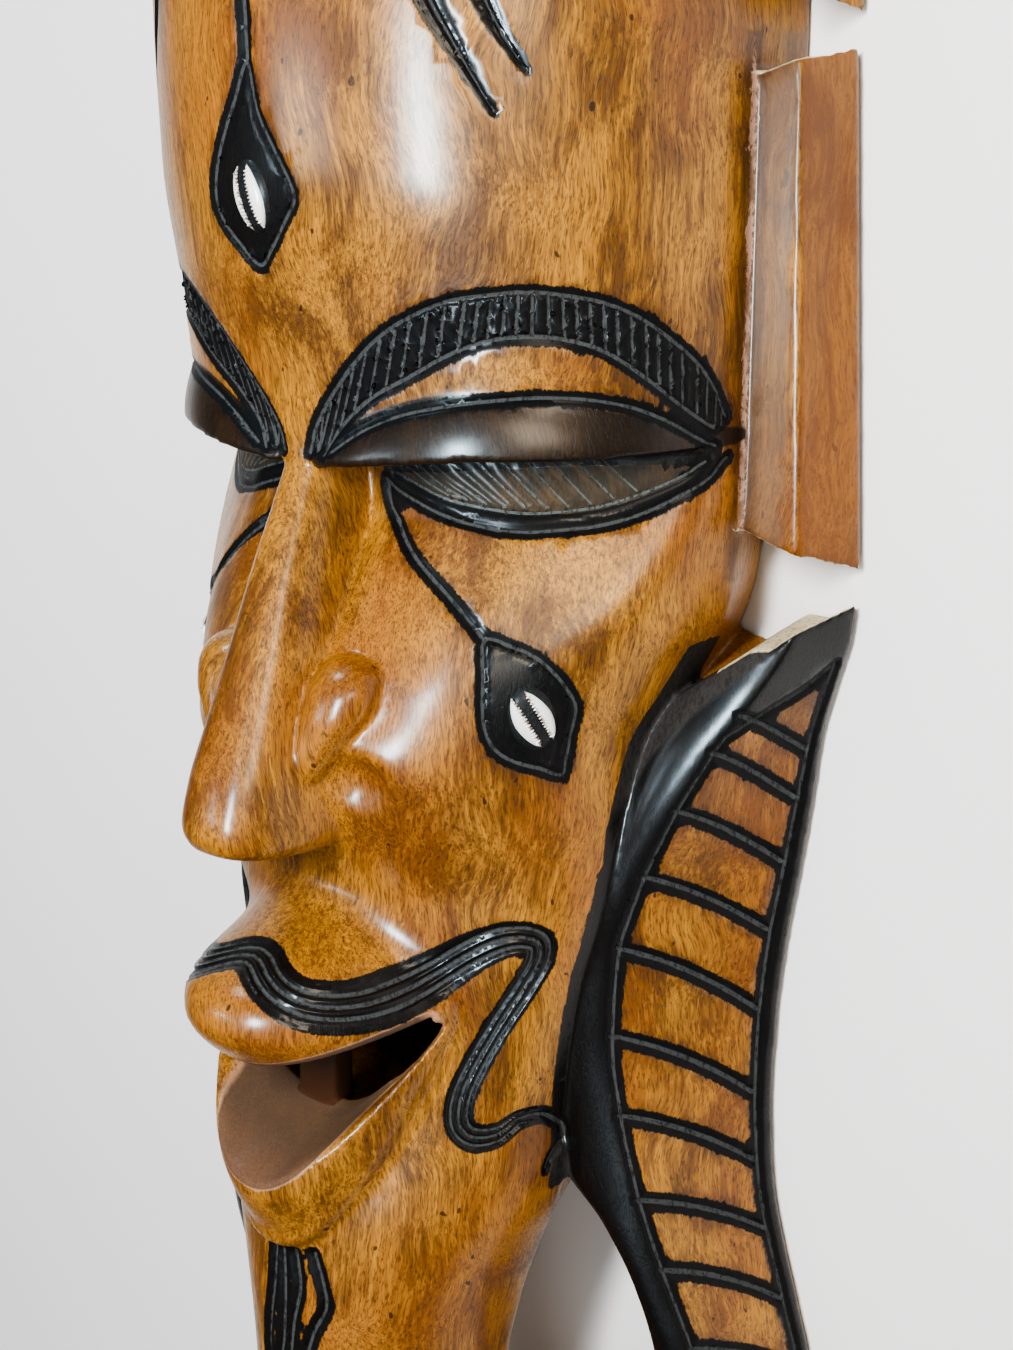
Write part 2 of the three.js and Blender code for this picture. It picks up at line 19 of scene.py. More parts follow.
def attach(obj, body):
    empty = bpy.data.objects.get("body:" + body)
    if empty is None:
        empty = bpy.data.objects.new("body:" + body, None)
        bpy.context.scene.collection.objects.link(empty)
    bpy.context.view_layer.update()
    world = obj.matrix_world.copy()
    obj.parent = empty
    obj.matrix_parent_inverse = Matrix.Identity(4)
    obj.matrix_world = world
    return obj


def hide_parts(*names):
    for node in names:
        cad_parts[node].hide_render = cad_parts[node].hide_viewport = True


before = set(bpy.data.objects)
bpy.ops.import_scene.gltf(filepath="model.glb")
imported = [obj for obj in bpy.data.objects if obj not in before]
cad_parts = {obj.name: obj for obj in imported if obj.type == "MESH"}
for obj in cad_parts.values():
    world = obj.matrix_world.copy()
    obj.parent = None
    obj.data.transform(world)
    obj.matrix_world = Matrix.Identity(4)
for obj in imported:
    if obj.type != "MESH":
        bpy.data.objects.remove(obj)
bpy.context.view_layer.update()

# %% [markdown]
# ## The carver's drawing
#
# The carving is drawn in millimetres, with heights counted from the root of the nose, because a
# carver measures a face from there. The frame counts from the middle of the mask's length, so one
# shift takes the drawing into the frame. Half widths and depths are given at a few stations, as a
# boat builder would, and a curve that never overshoots runs through them.

# %% Drawing units
ROOT_OF_NOSE = 55.0
MM = 0.001
SIDES = (1, -1)


def to_frame(points):
    """Drawing millimetres to frame metres."""
    return (np.asarray(points, float) + (0, ROOT_OF_NOSE, 0)) * MM


def to_drawing(points):
    """Frame metres to drawing millimetres."""
    return points / MM - (0, ROOT_OF_NOSE, 0)


def side_view(outline, side):
    """A flat outline as it lies on one side of the face."""
    return np.array([[side * x, y] for x, y in outline])


# %% Curves through stations and drawn points
def stations_at(stations, places):
    """Rows of a station table at the given places, on a curve that never overshoots."""
    table = np.array(sorted(stations), float)
    knots, rows = table[:, 0], table[:, 1:]
    widths = np.diff(knots)
    slopes = np.diff(rows, axis=0) / widths[:, None]
    before, after = slopes[:-1], slopes[1:]
    total = np.where(before + after == 0, 1, before + after)
    inner = np.where(before * after > 0, 2 * before * after / total, 0)
    tangents = np.vstack([slopes[:1], inner, slopes[-1:]])
    places = np.clip(places, knots[0], knots[-1])
    i = np.clip(np.searchsorted(knots, places, side="right") - 1, 0, len(widths) - 1)
    u = ((places - knots[i]) / widths[i])[:, None]
    bend = widths[i][:, None] * u * (1 - u) * (tangents[i] * (1 - u) - tangents[i + 1] * u)
    return rows[i] * (1 + 2 * u) * (1 - u) ** 2 + rows[i + 1] * (3 - 2 * u) * u**2 + bend


def places_along(stations, step):
    first, last = stations[0][0], stations[-1][0]
    return np.linspace(first, last, int(abs(last - first) / step) + 2)


def curve_through(points, step, closed=False):
    """Points every step or so on a smooth curve through a few drawn ones."""
    points = np.array(points, float)
    ends = (points[-1:], points[:1], points[1:2]) if closed else (
        2 * points[:1] - points[1:2], 2 * points[-1:] - points[-2:-1], points[:0])
    row = np.vstack([ends[0], points, ends[1], ends[2]])
    out = []
    for a, b, c, d in zip(row, row[1:], row[2:], row[3:]):
        count = max(1, int(np.linalg.norm(c - b) / step))
        t = (np.arange(count) / count)[:, None]
        out.append(0.5 * (2 * b + (c - a) * t + (2 * a - 5 * b + 4 * c - d) * t**2
                          + (3 * b - a - 3 * c + d) * t**3))
    if not closed:
        out.append(points[-1:])
    return np.vstack(out)


# %% [markdown]
# ## Carving with a volume
#
# A carver starts from a block, takes wood away and leaves soft joins where the gouge turned. Mesh
# booleans would leave knife-sharp joins, so each form is turned into a distance field instead: a
# grid of numbers that says how far every point is from the form's skin. Joining and cutting are
# then a smooth minimum and a smooth maximum, and their blend is the gouge's radius in millimetres.

# %% Closed bodies
def closed_loft(rings):
    """Points and triangles of a body through rings that all have the same number of points."""
    rings = np.asarray(rings, float)
    count, around = rings.shape[:2]
    index = np.arange(count * around).reshape(count, around)
    turned = np.roll(index, -1, axis=1)
    a, b, c, d = (part.ravel() for part in (index[:-1], turned[:-1], turned[1:], index[1:]))
    triangles = [np.stack([a, b, c], 1), np.stack([a, c, d], 1)]
    points = rings.reshape(-1, 3)
    for ring in (0, count - 1):
        middle = np.full(around, len(points))
        points = np.vstack([points, rings[ring].mean(0)])
        triangles.append(np.stack([index[ring], turned[ring], middle], 1))
    return points, np.vstack(triangles)


def prism(outline, bottom, top, sheared=None):
    """A body between two copies of a flat outline, or up to a second outline at the top."""
    flat = [Vector((x, y, 0)) for x, y in outline]
    caps = np.array([list(t) for t in tessellate_polygon([flat])])
    count = len(outline)
    low = np.c_[outline, np.full(count, bottom)]
    high = np.c_[outline if sheared is None else sheared, np.full(count, top)]
    a = np.arange(count)
    b = (a + 1) % count
    walls = np.vstack([np.stack([a, b, b + count], 1), np.stack([a, b + count, a + count], 1)])
    return np.vstack([low, high]), np.vstack([caps, caps + count, walls])


# %% Distance fields
VOXEL = 1.25
REACH = 10.0
BLOCK_LOW = np.floor(np.array([-152.0, -470.0, -8.0]) / VOXEL).astype(int)
BLOCK_HIGH = np.ceil(np.array([152.0, 360.0, 182.0]) / VOXEL).astype(int)


def grid_transform():
    return openvdb.createLinearTransform(voxelSize=VOXEL)


def field_of(body):
    """The distance field of a closed body: its lowest cell and its block of millimetres."""
    points, triangles = body
    low = np.maximum(np.floor((points.min(0) - REACH) / VOXEL).astype(int), BLOCK_LOW)
    high = np.minimum(np.ceil((points.max(0) + REACH) / VOXEL).astype(int), BLOCK_HIGH)
    grid = openvdb.FloatGrid.createLevelSetFromPolygons(
        points.astype(np.float32), triangles=triangles.astype(np.uint32),
        transform=grid_transform(), halfWidth=REACH / VOXEL)
    block = np.empty(high - low, np.float32)
    grid.copyToArray(block, ijk=tuple(int(v) for v in low))
    return low, block


def window(low, block):
    """The part of the whole block that a smaller one fills."""
    start = low - BLOCK_LOW
    return tuple(slice(s, s + n) for s, n in zip(start, block.shape))


def softly(a, b, blend):
    """The smaller of two fields, rounded where they meet."""
    if blend == 0:
        return np.minimum(a, b)
    near = np.clip(blend - np.abs(a - b), 0, None)
    return np.minimum(a, b) - near * near / (4 * blend)


def join(wood, piece, blend=0.0):
    spot = window(*piece)
    wood[spot] = softly(wood[spot], piece[1], blend)


def cut(wood, piece, blend=0.0):
    spot = window(*piece)
    wood[spot] = -softly(-wood[spot], piece[1], blend)


def empty_block():
    return np.full(BLOCK_HIGH - BLOCK_LOW, REACH, np.float32)


def block_of(*pieces):
    block = empty_block()
    for piece in pieces:
        join(block, piece)
    return block


def sample(wood, points):
    """The field's value at drawing points, between the grid's cells."""
    place = np.asarray(points) / VOXEL - BLOCK_LOW
    place = np.clip(place, 0, np.array(wood.shape) - 1.001)
    base = place.astype(int)
    share = (place - base).astype(np.float32)
    total = np.zeros(len(place), np.float32)
    for corner in np.ndindex(2, 2, 2):
        weight = np.where(corner, share, 1 - share).prod(1)
        total += weight * wood[tuple((base + corner).T)]
    return total


print("block of cells", tuple(BLOCK_HIGH - BLOCK_LOW))

# %% [markdown]
# ## The head, the neck and the hollow
#
# The face is half an ellipse in every cross-section, over side valleys where the horns start. The
# neck stands free of the back, and the hollow is dug from behind with thick walls left. Each of
# them is a body through cross-sections, and a small function draws one section from one row of
# the stations.

# %% Bodies through stations
def loft_up(table, step, section, side=1, within=(-math.inf, math.inf)):
    """A body through the sections, as points across and deep, that a function draws from rows."""
    ys = places_along(table, step)
    ys = ys[(ys > within[0]) & (ys < within[1])]
    rings = []
    for y, row in zip(ys, stations_at(table, ys)):
        rings.append([(side * x, y, z) for x, z in section(y, *row)])
    return closed_loft(rings)


# %% Head
HEAD = [  # height, half width, depth of the side valley, depth of the crest
    [-272, 61, 60, 130], [-252, 69, 63, 134], [-225, 71, 62, 127], [-187, 77, 61, 120],
    [-150, 85, 58, 119], [-115, 88, 51, 134], [-97, 90, 45, 141], [-75, 99, 35, 134],
    [-45, 110, 30, 125], [0, 113, 30, 122], [50, 113, 30, 129], [90, 113, 31, 137],
    [150, 112, 32, 139], [200, 105, 36, 132], [245, 90, 42, 121], [280, 68, 46, 104],
    [305, 44, 48, 86], [318, 24, 49, 70], [325, 8, 48, 54],
]
HEAD_BACK_STEP = 10.0      # how much narrower the head is at the table than at its side valleys
HEAD_BACK_FLARE = 11.0     # how far it flares out again behind the brow
FLARE_HEIGHTS = [-50, 130]
ARC = np.linspace(math.pi, 0, 61)


def dome(half, valley, crest, back, back_half):
    """Half an ellipse over a flat back."""
    arc = zip(half * np.cos(ARC), valley + (crest - valley) * np.sin(ARC))
    return [(-back_half, back), *arc, (back_half, back)]


def head_section(y, half, valley, crest):
    flare = np.interp(y, FLARE_HEIGHTS, [0, HEAD_BACK_FLARE])
    return dome(half, valley, crest, 0, half - HEAD_BACK_STEP + flare)


def dome_depth(x, y):
    """Depth of the bare dome at places on the face."""
    half, valley, crest = stations_at(HEAD, np.atleast_1d(y)).T
    across = np.clip(np.abs(x) / half, 0, 1)
    return valley + (crest - valley) * np.sqrt(1 - across**2)


wood = empty_block()
join(wood, field_of(loft_up(HEAD, 3, head_section)))
print("head carved, cells inside", int((wood < 0).sum()))

# %% Neck and hollow
NECK = [  # height, half width, depth of the side, depth of the crest, depth of its free back
    [-228, 64, 58, 116, 30], [-252, 69.5, 64.5, 134.5, 42], [-270, 67, 66.5, 139.5, 50],
    [-290, 60, 67, 141, 58], [-311, 53, 68, 142, 62], [-345, 47, 71, 142, 66],
    [-380, 45, 68, 135, 58], [-412, 42, 56, 122, 38], [-436, 37, 40, 98, 12], [-458, 28, 22, 60, 0],
]
HOLLOW = [  # height, half width, depth
    [-276, 44, 44], [-258, 46, 54], [-236, 48, 72], [-205, 54, 88], [-150, 62, 92], [-80, 72, 96],
    [-30, 86, 96], [130, 90, 100], [200, 80, 98], [245, 62, 84], [266, 44, 66],
]
NECK_BACK_STEP = 6
HOLLOW_SILL = 6
PAST_THE_BACK = -9


def neck_section(_, half, valley, crest, back):
    return dome(half, valley, crest, back, half - NECK_BACK_STEP)


def hollow_section(_, half, depth):
    return dome(half, HOLLOW_SILL, depth, PAST_THE_BACK, half)


neck = field_of(loft_up(NECK, 3, neck_section))
hollow = field_of(loft_up(HOLLOW, 4, hollow_section))
print("cells in the neck", int((neck[1] < 0).sum()), "and the hollow", int((hollow[1] < 0).sum()))

# %% [markdown]
# ## Eyes, nose and nose wings
#
# Under each brow the wood is cut back to a plane that slopes from the slit down to the cheekbone,
# and the heavy upper lid hangs over it as a ledge. Beside the nose a narrow facet falls away from
# that plane. The nose is a rounded ridge cut off flat below, and each nose wing is a small boss
# with a scoop under it.

# %% Sockets and lids
EYE = [  # across, slit height, depth at the slit, height of the cheekbone ridge and its depth
    [0, -4, 98, -88, 140], [20, -2, 99, -84, 138], [38, 0, 99, -81, 129], [56, 2, 91, -75, 119],
    [70, 3, 82, -72, 106], [85, 3, 70, -59, 89], [101, 4, 56, -39, 68], [111, 5, 46, -17, 50],
    [116, 6, 38, 0, 40],
]
LOWER_LID_HEIGHT = 20.0
LID_RISE = 7.0
LID_HEIGHT = 21.0
LID_ROOT = 14.0      # how deep a lid reaches into the dome
LID_SPAN = (8.0, 113.0)


def under_eye(x):
    """Slit height, depth at the slit, lower lid's foot, its depth and the slope below it."""
    slit, deep, ridge, ridge_depth = stations_at(EYE, np.atleast_1d(x)).T
    foot = slit - LOWER_LID_HEIGHT
    slope = (ridge_depth - deep - 2) / (ridge - foot)
    return slit, deep, foot, deep + 2, slope


def socket_body(side):
    in_front, below = 230.0, -150.0
    xs = places_along(EYE, 2)
    rings = []
    for x, slit, deep, foot, foot_deep, slope in zip(xs, *under_eye(xs)):
        section = [(slit, deep), (slit, in_front), (below, in_front),
                   (below, foot_deep + slope * (below - foot)), (foot, foot_deep)]
        rings.append([(side * x, y, z) for y, z in section])
    return closed_loft(rings)


def lid_body(side):
    xs = np.linspace(*LID_SPAN, 70)
    share = (xs - xs[0]) / (xs[-1] - xs[0])
    swell = np.sin(math.pi * (0.04 + 0.92 * share)) ** 0.7
    slit = under_eye(xs)[0]
    rows = [np.stack([side * xs, slit, dome_depth(xs, slit) - LID_ROOT], 1)]
    for v in np.linspace(0, 1, 9):
        height = slit + v * LID_HEIGHT * swell
        rise = LID_RISE * (1 - v**2) * swell - 0.5 * v
        rows.append(np.stack([side * xs, height, dome_depth(xs, height) + rise], 1))
    rows.append(rows[-1] - (0, 0, LID_ROOT))
    return closed_loft(np.stack(rows, 1))


# %% Nose and its wings
NOSE = [  # height, half width at the root, depth of the ridge
    [4, 9, 121], [-4, 9.5, 124], [-35, 13, 138], [-60, 16.5, 148], [-84, 20, 158], [-106, 22.5, 167],
    [-119, 23, 170], [-126, 21.5, 167], [-130, 17, 157],
]
NOSE_FULLNESS = 2.8
NOSE_TURN = np.linspace(math.pi, 0, 41)
NOSE_ACROSS = np.sign(np.cos(NOSE_TURN)) * np.abs(np.cos(NOSE_TURN)) ** (2 / NOSE_FULLNESS)
NOSE_UP = np.abs(np.sin(NOSE_TURN)) ** (2 / NOSE_FULLNESS)
INSIDE_HEAD = 84
NOSE_WING = [  # height, how far out, depth of its middle, half width and half depth
    [-62, 27, 124, 1, 1], [-63.5, 27, 124.5, 7, 6], [-67, 27.5, 126, 11, 10], [-73, 27, 128, 13, 12],
    [-80, 26, 130, 12.5, 12], [-86, 24, 132, 11, 11], [-92, 22, 134, 8.5, 10], [-98, 20.5, 136, 6, 8],
    [-104, 19.5, 137, 3, 5], [-106, 19.5, 137, 1, 2],
]
NOSTRIL_SCOOP = dict(middle=(38, -106, 152), half=(19, 19, 27))
NOSE_SIDE_EDGE = [  # height, half width of the facet beside the nose, its depth below the plane
    [-6, 22, 4.5], [-35, 17, 4], [-62, 18, 2],
]


def nose_section(_, root, ridge):
    low = ridge - 2.3 * root
    arc = zip(root * NOSE_ACROSS, low + (ridge - low) * NOSE_UP)
    return [(-root, INSIDE_HEAD), *arc, (root, INSIDE_HEAD)]


def nose_side_section(y, edge, drop):
    """The wood taken off beside the nose, down to a facet that falls away from the eye's plane."""
    _, _, foot, foot_deep, slope = (v[0] for v in under_eye(edge))
    plane = foot_deep + slope * (min(y, foot) - foot)
    return [(6, plane - drop), (edge, plane), (edge + 8, plane + 40), (6, plane + 40)]


def nose_wing_section(_, out, depth, wide, deep):
    turn = np.linspace(0, 2 * math.pi, 40, endpoint=False)
    return zip(out + wide * np.cos(turn), depth + deep * np.sin(turn))


def egg_body(side, middle, half):
    """An egg-shaped body."""
    rise = np.linspace(-0.499 * math.pi, 0.499 * math.pi, 20)
    turn = np.linspace(0, 2 * math.pi, 28, endpoint=False)
    ring = np.stack([np.cos(turn), 0 * turn, np.sin(turn)], 1)
    unit = np.stack([ring * math.cos(r) + (0, math.sin(r), 0) for r in rise])
    return closed_loft(unit * half + np.array(middle) * (side, 1, 1))


# %% Carve the eyes, the nose and the neck
lids = {side: field_of(lid_body(side)) for side in SIDES}
for side in SIDES:
    cut(wood, field_of(socket_body(side)), 4.0)
    cut(wood, field_of(loft_up(NOSE_SIDE_EDGE, 3, nose_side_section, side)), 0.8)
    join(wood, lids[side], 0.8)
join(wood, field_of(loft_up(NOSE, 2, nose_section)), 1.2)
join(wood, neck, 3.0)
for side in SIDES:
    cut(wood, field_of(egg_body(side, **NOSTRIL_SCOOP)), 3.0)
    join(wood, field_of(loft_up(NOSE_WING, 1.5, nose_wing_section, side)), 0.7)
print("eyes and nose carved, cells inside", int((wood < 0).sum()))

# %% [markdown]
# ## Horned sides
#
# Below the lower notch each side is a horn: a rounded band that runs down the face, with a ladder
# of cut rungs sloping away to the back edge. Between the notches there is a plain two-faced
# panel, and over the crown the ladder goes on as an arch. The notches are sawn right through.

# %% Wing, panel and arch
WING = [  # height, inner edge and its depth, arris and its depth, outer edge, inner edge behind
    [-43, 99, 30, 137, 28, 142, 95], [-58, 96, 32, 134, 30, 141, 92],
    [-77, 92, 38, 126, 38, 136, 86], [-97, 84, 46, 115, 46, 131, 80],
    [-122, 80, 52, 103, 53, 128, 76], [-150, 78, 57, 92, 57, 124, 72],
    [-175, 72, 60, 86, 60, 120, 68], [-205, 66, 61, 85, 61, 117, 62],
    [-235, 62, 61, 90, 61, 116, 58], [-258, 64, 61, 97, 61, 117, 64],
    [-275, 82, 60, 103, 60, 119, 84], [-295, 95, 58, 111, 58, 124, 97],
    [-318, 102, 55, 121, 56, 131, 104], [-345, 105, 50, 128, 52, 138, 107],
    [-375, 100, 44, 126, 47, 139, 102], [-402, 84, 38, 111, 42, 127, 86],
    [-426, 56, 34, 84, 38, 102, 58], [-444, 16, 30, 54, 34, 76, 16], [-459.2, -4, 22, 28, 25, 40, -4],
]
PANEL = [[-43, 134, 28, 143], [132, 128, 29, 133]]   # height, arris and its depth, outer edge
PANEL_STEP = 20          # width of the panel's inner face
PANEL_ROOT = (96, 30)    # where the panel is buried in the head, across and deep
EDGE_THICK = 4           # thickness of the wood at the outer edge of horn and arch
ARCH = [  # inner edge, arris and outer edge, each across, up and deep
    [[100, 131, 30], [128, 131, 29], [134, 131, 4]], [[99, 158, 32], [125, 158, 33], [134, 158, 4]],
    [[94, 182, 38], [117, 184, 41], [131, 186, 4]], [[86, 208, 46], [107, 212, 50], [126, 217, 4]],
    [[74, 234, 50], [95, 244, 56], [118, 254, 4]], [[58, 258, 50], [77, 272, 58], [104, 291, 4]],
    [[38, 276, 50], [52, 294, 58], [77, 324, 4]], [[16, 286, 50], [22, 306, 58], [36, 345, 4]],
    [[-4, 288, 50], [-4, 309, 58], [-4, 350, 4]],
]
ARCH_ROWS = [[i, *inner, *arris, *outer] for i, (inner, arris, outer) in enumerate(ARCH)]
HORN_SWELL = 5.0
BAND = np.linspace(0, 1, 13)


def band_rise(share):
    """How far the rounded horn stands over the straight line across it."""
    return HORN_SWELL * np.sin(math.pi * np.clip(share, 0, 1)) ** 0.8


def wing_section(_, in_x, in_z, arris_x, arris_z, out_x, back_x):
    band = [(in_x + s * (arris_x - in_x), in_z + s * (arris_z - in_z) + band_rise(s)) for s in BAND]
    return [(back_x, 0), *band, (out_x, EDGE_THICK), (out_x - 2, 0)]


def panel_body(side):
    root_x, root_z = PANEL_ROOT
    rings = []
    for y, arris_x, arris_z, out_x in PANEL:
        section = [(root_x, 0), (root_x, root_z), (arris_x - PANEL_STEP, root_z),
                   (arris_x, arris_z), (out_x, 5), (out_x - 2, 0)]
        rings.append([(side * x, y, z) for x, z in section])
    return closed_loft(rings)


def arch_edges(t):
    """Inner edge, arris and outer edge of the arch at t, counted in stations."""
    return stations_at(ARCH_ROWS, np.atleast_1d(t)).reshape(-1, 3, 3)


def arch_body(side):
    rings = []
    for inner, arris, outer in arch_edges(np.linspace(0, len(ARCH) - 1, 120)):
        band = [inner + s * (arris - inner) + (0, 0, 0.6 * band_rise(s)) for s in BAND]
        section = [inner - (4, 4, inner[2])] + band + [outer, outer - (1.5, 1.5, outer[2])]
        rings.append(np.array(section) * (side, 1, 1))
    return closed_loft(rings)


# %% Notches
LOWER_NOTCH = [[90, -17], [114, -25], [135, -32], [146, -41], [160, -41], [160, -45], [146, -45],
               [122, -62], [90, -79]]
NOTCH_MOUTH = 146      # how far out the lower notch's floor starts
NOTCH_LEAN = 0.0075    # how much steeper it falls forward for each millimetre in from there
NOTCH_LEVEL = 35       # depth at which the floor has its drawn outline
UPPER_NOTCH = [[90, 112], [113, 119], [129, 124], [136, 130], [160, 130], [160, 134], [136, 135],
               [128, 142], [118, 155], [90, 182]]
NOTCH_REACH = 60     # depth that the saw passes on both sides of the back


def lower_notch_body(side):
    """The notch under the panel, whose sawn floor is bevelled down towards the face."""
    back, front = np.array(LOWER_NOTCH, float), np.array(LOWER_NOTCH, float)
    floor = front[:, 1] < PANEL[0][0] - 2.5
    fall = NOTCH_LEAN * (NOTCH_MOUTH - front[floor, 0])
    back[floor, 1] += fall * (NOTCH_LEVEL + NOTCH_REACH)
    front[floor, 1] -= fall * (NOTCH_REACH - NOTCH_LEVEL)
    return prism(side_view(back, side), -NOTCH_REACH, NOTCH_REACH, side_view(front, side))


def upper_notch_body(side):
    return prism(side_view(UPPER_NOTCH, side), -NOTCH_REACH, NOTCH_REACH)


# %% Carve the horned sides
notches = {}
for side in SIDES:
    pieces = empty_block()
    for body in (loft_up(WING, 3, wing_section, side), panel_body(side), arch_body(side)):
        join(pieces, field_of(body))
    for name, notch_body in (("lower", lower_notch_body), ("upper", upper_notch_body)):
        notches[name, side] = field_of(notch_body(side))
        cut(pieces, notches[name, side])
    wood[:] = softly(wood, pieces, 2.0)
del pieces
print("horned sides carved, cells inside", int((wood < 0).sum()))

# %% [markdown]
# ## Lips, mouth and the open back
#
# The lips are one section on the middle line that shrinks along a bow towards the corners. The
# mouth is cut through into the hollow, and one tooth block is left standing in it.

# %% Lips
MOUTH_HALF_WIDTH = 50.0
MOUTH_CORNER = (-188.0, 107.0)
UPPER_LIP = [[-140, 106], [-151, 119], [-159, 130], [-165, 143], [-170, 156], [-178, 167], [-190, 169],
             [-202, 159], [-207, 148], [-206, 134], [-202, 98]]
LOWER_LIP = [[-220, 92], [-232, 120], [-246, 152], [-251, 155], [-260, 153], [-272, 147], [-281, 140],
             [-284, 92]]
CORNER_SIZE = 0.06     # the lips' size at the corners, as a share of that on the middle line


def lip_body(section):
    corner_y, corner_z = MOUTH_CORNER
    smooth = curve_through(section, 2)
    rings = []
    for across in np.linspace(-1, 1, 81):
        bow = (1 - abs(across) ** 2.2) * (1 - CORNER_SIZE) + CORNER_SIZE
        rings.append([[across * (MOUTH_HALF_WIDTH + 3), corner_y + (y - corner_y) * bow,
                       corner_z + (z - corner_z) * bow] for y, z in smooth])
    return closed_loft(rings)


# %% Mouth and tooth
MOUTH_ROOF = -203.5
MOUTH_FLOOR = [[40, -240.5], [106, -243.5], [117, -230.5], [190, -268.5]]     # depth, height
MOUTH_FLOOR_BEND = 2.3     # how sharply the floor rises from its valley to the corners
TOOTH = dict(half_width=9.5, top=-194.0, bottom=-239.0, back=111.0, front=121.0, rounding=9.0)


def mouth_body():
    across = np.linspace(-1, 1, 41)
    corner = MOUTH_CORNER[0]
    depths = np.linspace(MOUTH_FLOOR[0][0], MOUTH_FLOOR[-1][0], 30)
    rings = []
    for z, floor in zip(depths, np.interp(depths, *np.transpose(MOUTH_FLOOR))):
        roof_line = MOUTH_ROOF + (corner + 0.5 - MOUTH_ROOF) * across**2
        floor_line = floor + (corner - 2.5 - floor) * np.abs(across) ** MOUTH_FLOOR_BEND
        xs = np.r_[across, across[::-1]] * MOUTH_HALF_WIDTH
        rings.append(np.c_[xs, np.r_[roof_line, floor_line[::-1]], np.full(len(xs), z)])
    return closed_loft(rings)


def tooth_body():
    """A slab that hangs from the upper lip, with a rounded end."""
    turn = np.linspace(0, math.pi, 16)
    w, top, rounding = TOOTH["half_width"], TOOTH["top"], TOOTH["rounding"]
    end = TOOTH["bottom"] + rounding
    arc = [[-w * math.cos(t), end - rounding * math.sin(t)] for t in turn]
    return prism([[-w, top]] + arc + [[w, top]], TOOTH["back"], TOOTH["front"])


# %% Carve the mouth and open the back
join(wood, field_of(lip_body(UPPER_LIP)), 6.0)
join(wood, field_of(lip_body(LOWER_LIP)), 3.0)
mouth = field_of(mouth_body())
cut(wood, mouth, 0.4)
cut(wood, hollow, 2.0)
tooth = field_of(tooth_body())
join(wood, tooth, 1.0)
print("mouth and hollow carved, cells inside", int((wood < 0).sum()))

# %% [markdown]
# ## From the volume to a skin
#
# The back is planed flat, and the field's zero surface is turned into quads. A few rounds of
# averaging take off the grid's faint steps, as sandpaper takes off tool marks.

# %% Volume to quads
SANDING = 3


def plane_back(wood):
    depths = (BLOCK_LOW[2] + np.arange(wood.shape[2])) * VOXEL
    np.maximum(wood, -depths.astype(np.float32), out=wood)


def skin_of(wood):
    """Points and quads of the field's zero surface, facing outwards."""
    grid = openvdb.FloatGrid(REACH)
    grid.transform = grid_transform()
    grid.copyFromArray(wood, ijk=tuple(int(v) for v in BLOCK_LOW))
    points, quads = grid.convertToQuads(isovalue=0.0)
    a, b, c = points[quads[:, 0]], points[quads[:, 1]], points[quads[:, 2]]
    inside_out = np.einsum("ij,ij->", np.cross(a, b), c) < 0
    return points.astype(float), quads[:, ::-1] if inside_out else quads


def sanded(points, quads, rounds):
    """Each point moved half way to the mean of its neighbours, round after round."""
    edges = np.vstack([quads[:, [k, (k + 1) % 4]] for k in range(4)])
    count = np.bincount(edges[:, 0], minlength=len(points))
    for _ in range(rounds):
        sums = [np.bincount(edges[:, 0], weights=points[edges[:, 1], k], minlength=len(points))
                for k in range(3)]
        points = 0.5 * points + 0.5 * np.stack(sums, 1) / count[:, None]
    return points


# %% Mesh objects and the numbers kept on them
def mesh_object(name, points, faces=None):
    """A mesh object from frame points, and from faces that all have the same number of corners."""
    mesh = bpy.data.meshes.new(name)
    mesh.vertices.add(len(points))
    mesh.vertices.foreach_set("co", np.asarray(points, np.float32).ravel())
    if faces is not None:
        mesh.loops.add(faces.size)
        mesh.loops.foreach_set("vertex_index", faces.astype(np.int32).ravel())
        mesh.polygons.add(len(faces))
        starts = np.arange(0, faces.size, faces.shape[1], dtype=np.int32)
        mesh.polygons.foreach_set("loop_start", starts)
    mesh.update(calc_edges=True)
    thing = bpy.data.objects.new(name, mesh)
    bpy.context.scene.collection.objects.link(thing)
    return thing


def points_of(mesh):
    flat = np.empty(len(mesh.vertices) * 3, np.float32)
    mesh.vertices.foreach_get("co", flat)
    return flat.reshape(-1, 3)


def note(mesh, name, values):
    """Writes one number per point under a name that the material reads."""
    layer = mesh.attributes.get(name) or mesh.attributes.new(name, "FLOAT", "POINT")
    layer.data.foreach_set("value", np.asarray(values, np.float32))


def noted(mesh, name):
    values = np.empty(len(mesh.vertices), np.float32)
    mesh.attributes[name].data.foreach_get("value", values)
    return values


# %% Make the skin
plane_back(wood)
skin_points, skin_quads = skin_of(wood)
skin_points = sanded(skin_points, skin_quads, SANDING)
carving = mesh_object("carving", to_frame(skin_points), skin_quads)
print("skin of", len(skin_quads), "quads")

# %% [markdown]
# ## Where the cut lines run
#
# The ornament is drawn from the front, as a carver pencils it on, and dropped onto the skin with
# rays. Each line keeps its half width, its depth, how flat its bottom is and how many flutes run
# side by side in it.

# %% From the drawing to the skin
LINE_STEP = 0.45
ABOVE = 250.0
DOWN = Vector((0, 0, -1))


def drop_on(thing, places):
    """Points of the skin straight behind places drawn from the front, in frame metres."""
    out = []
    for x, y in places:
        hit, spot, _, _ = thing.ray_cast(Vector(to_frame([x, y, ABOVE])), DOWN)
        if hit:
            out.append(spot)
    return np.array(out)


def snap_to(thing, places):
    """The points of the skin that lie nearest to places in space."""
    return np.array([thing.closest_point_on_mesh(Vector(place))[1] for place in to_frame(places)])


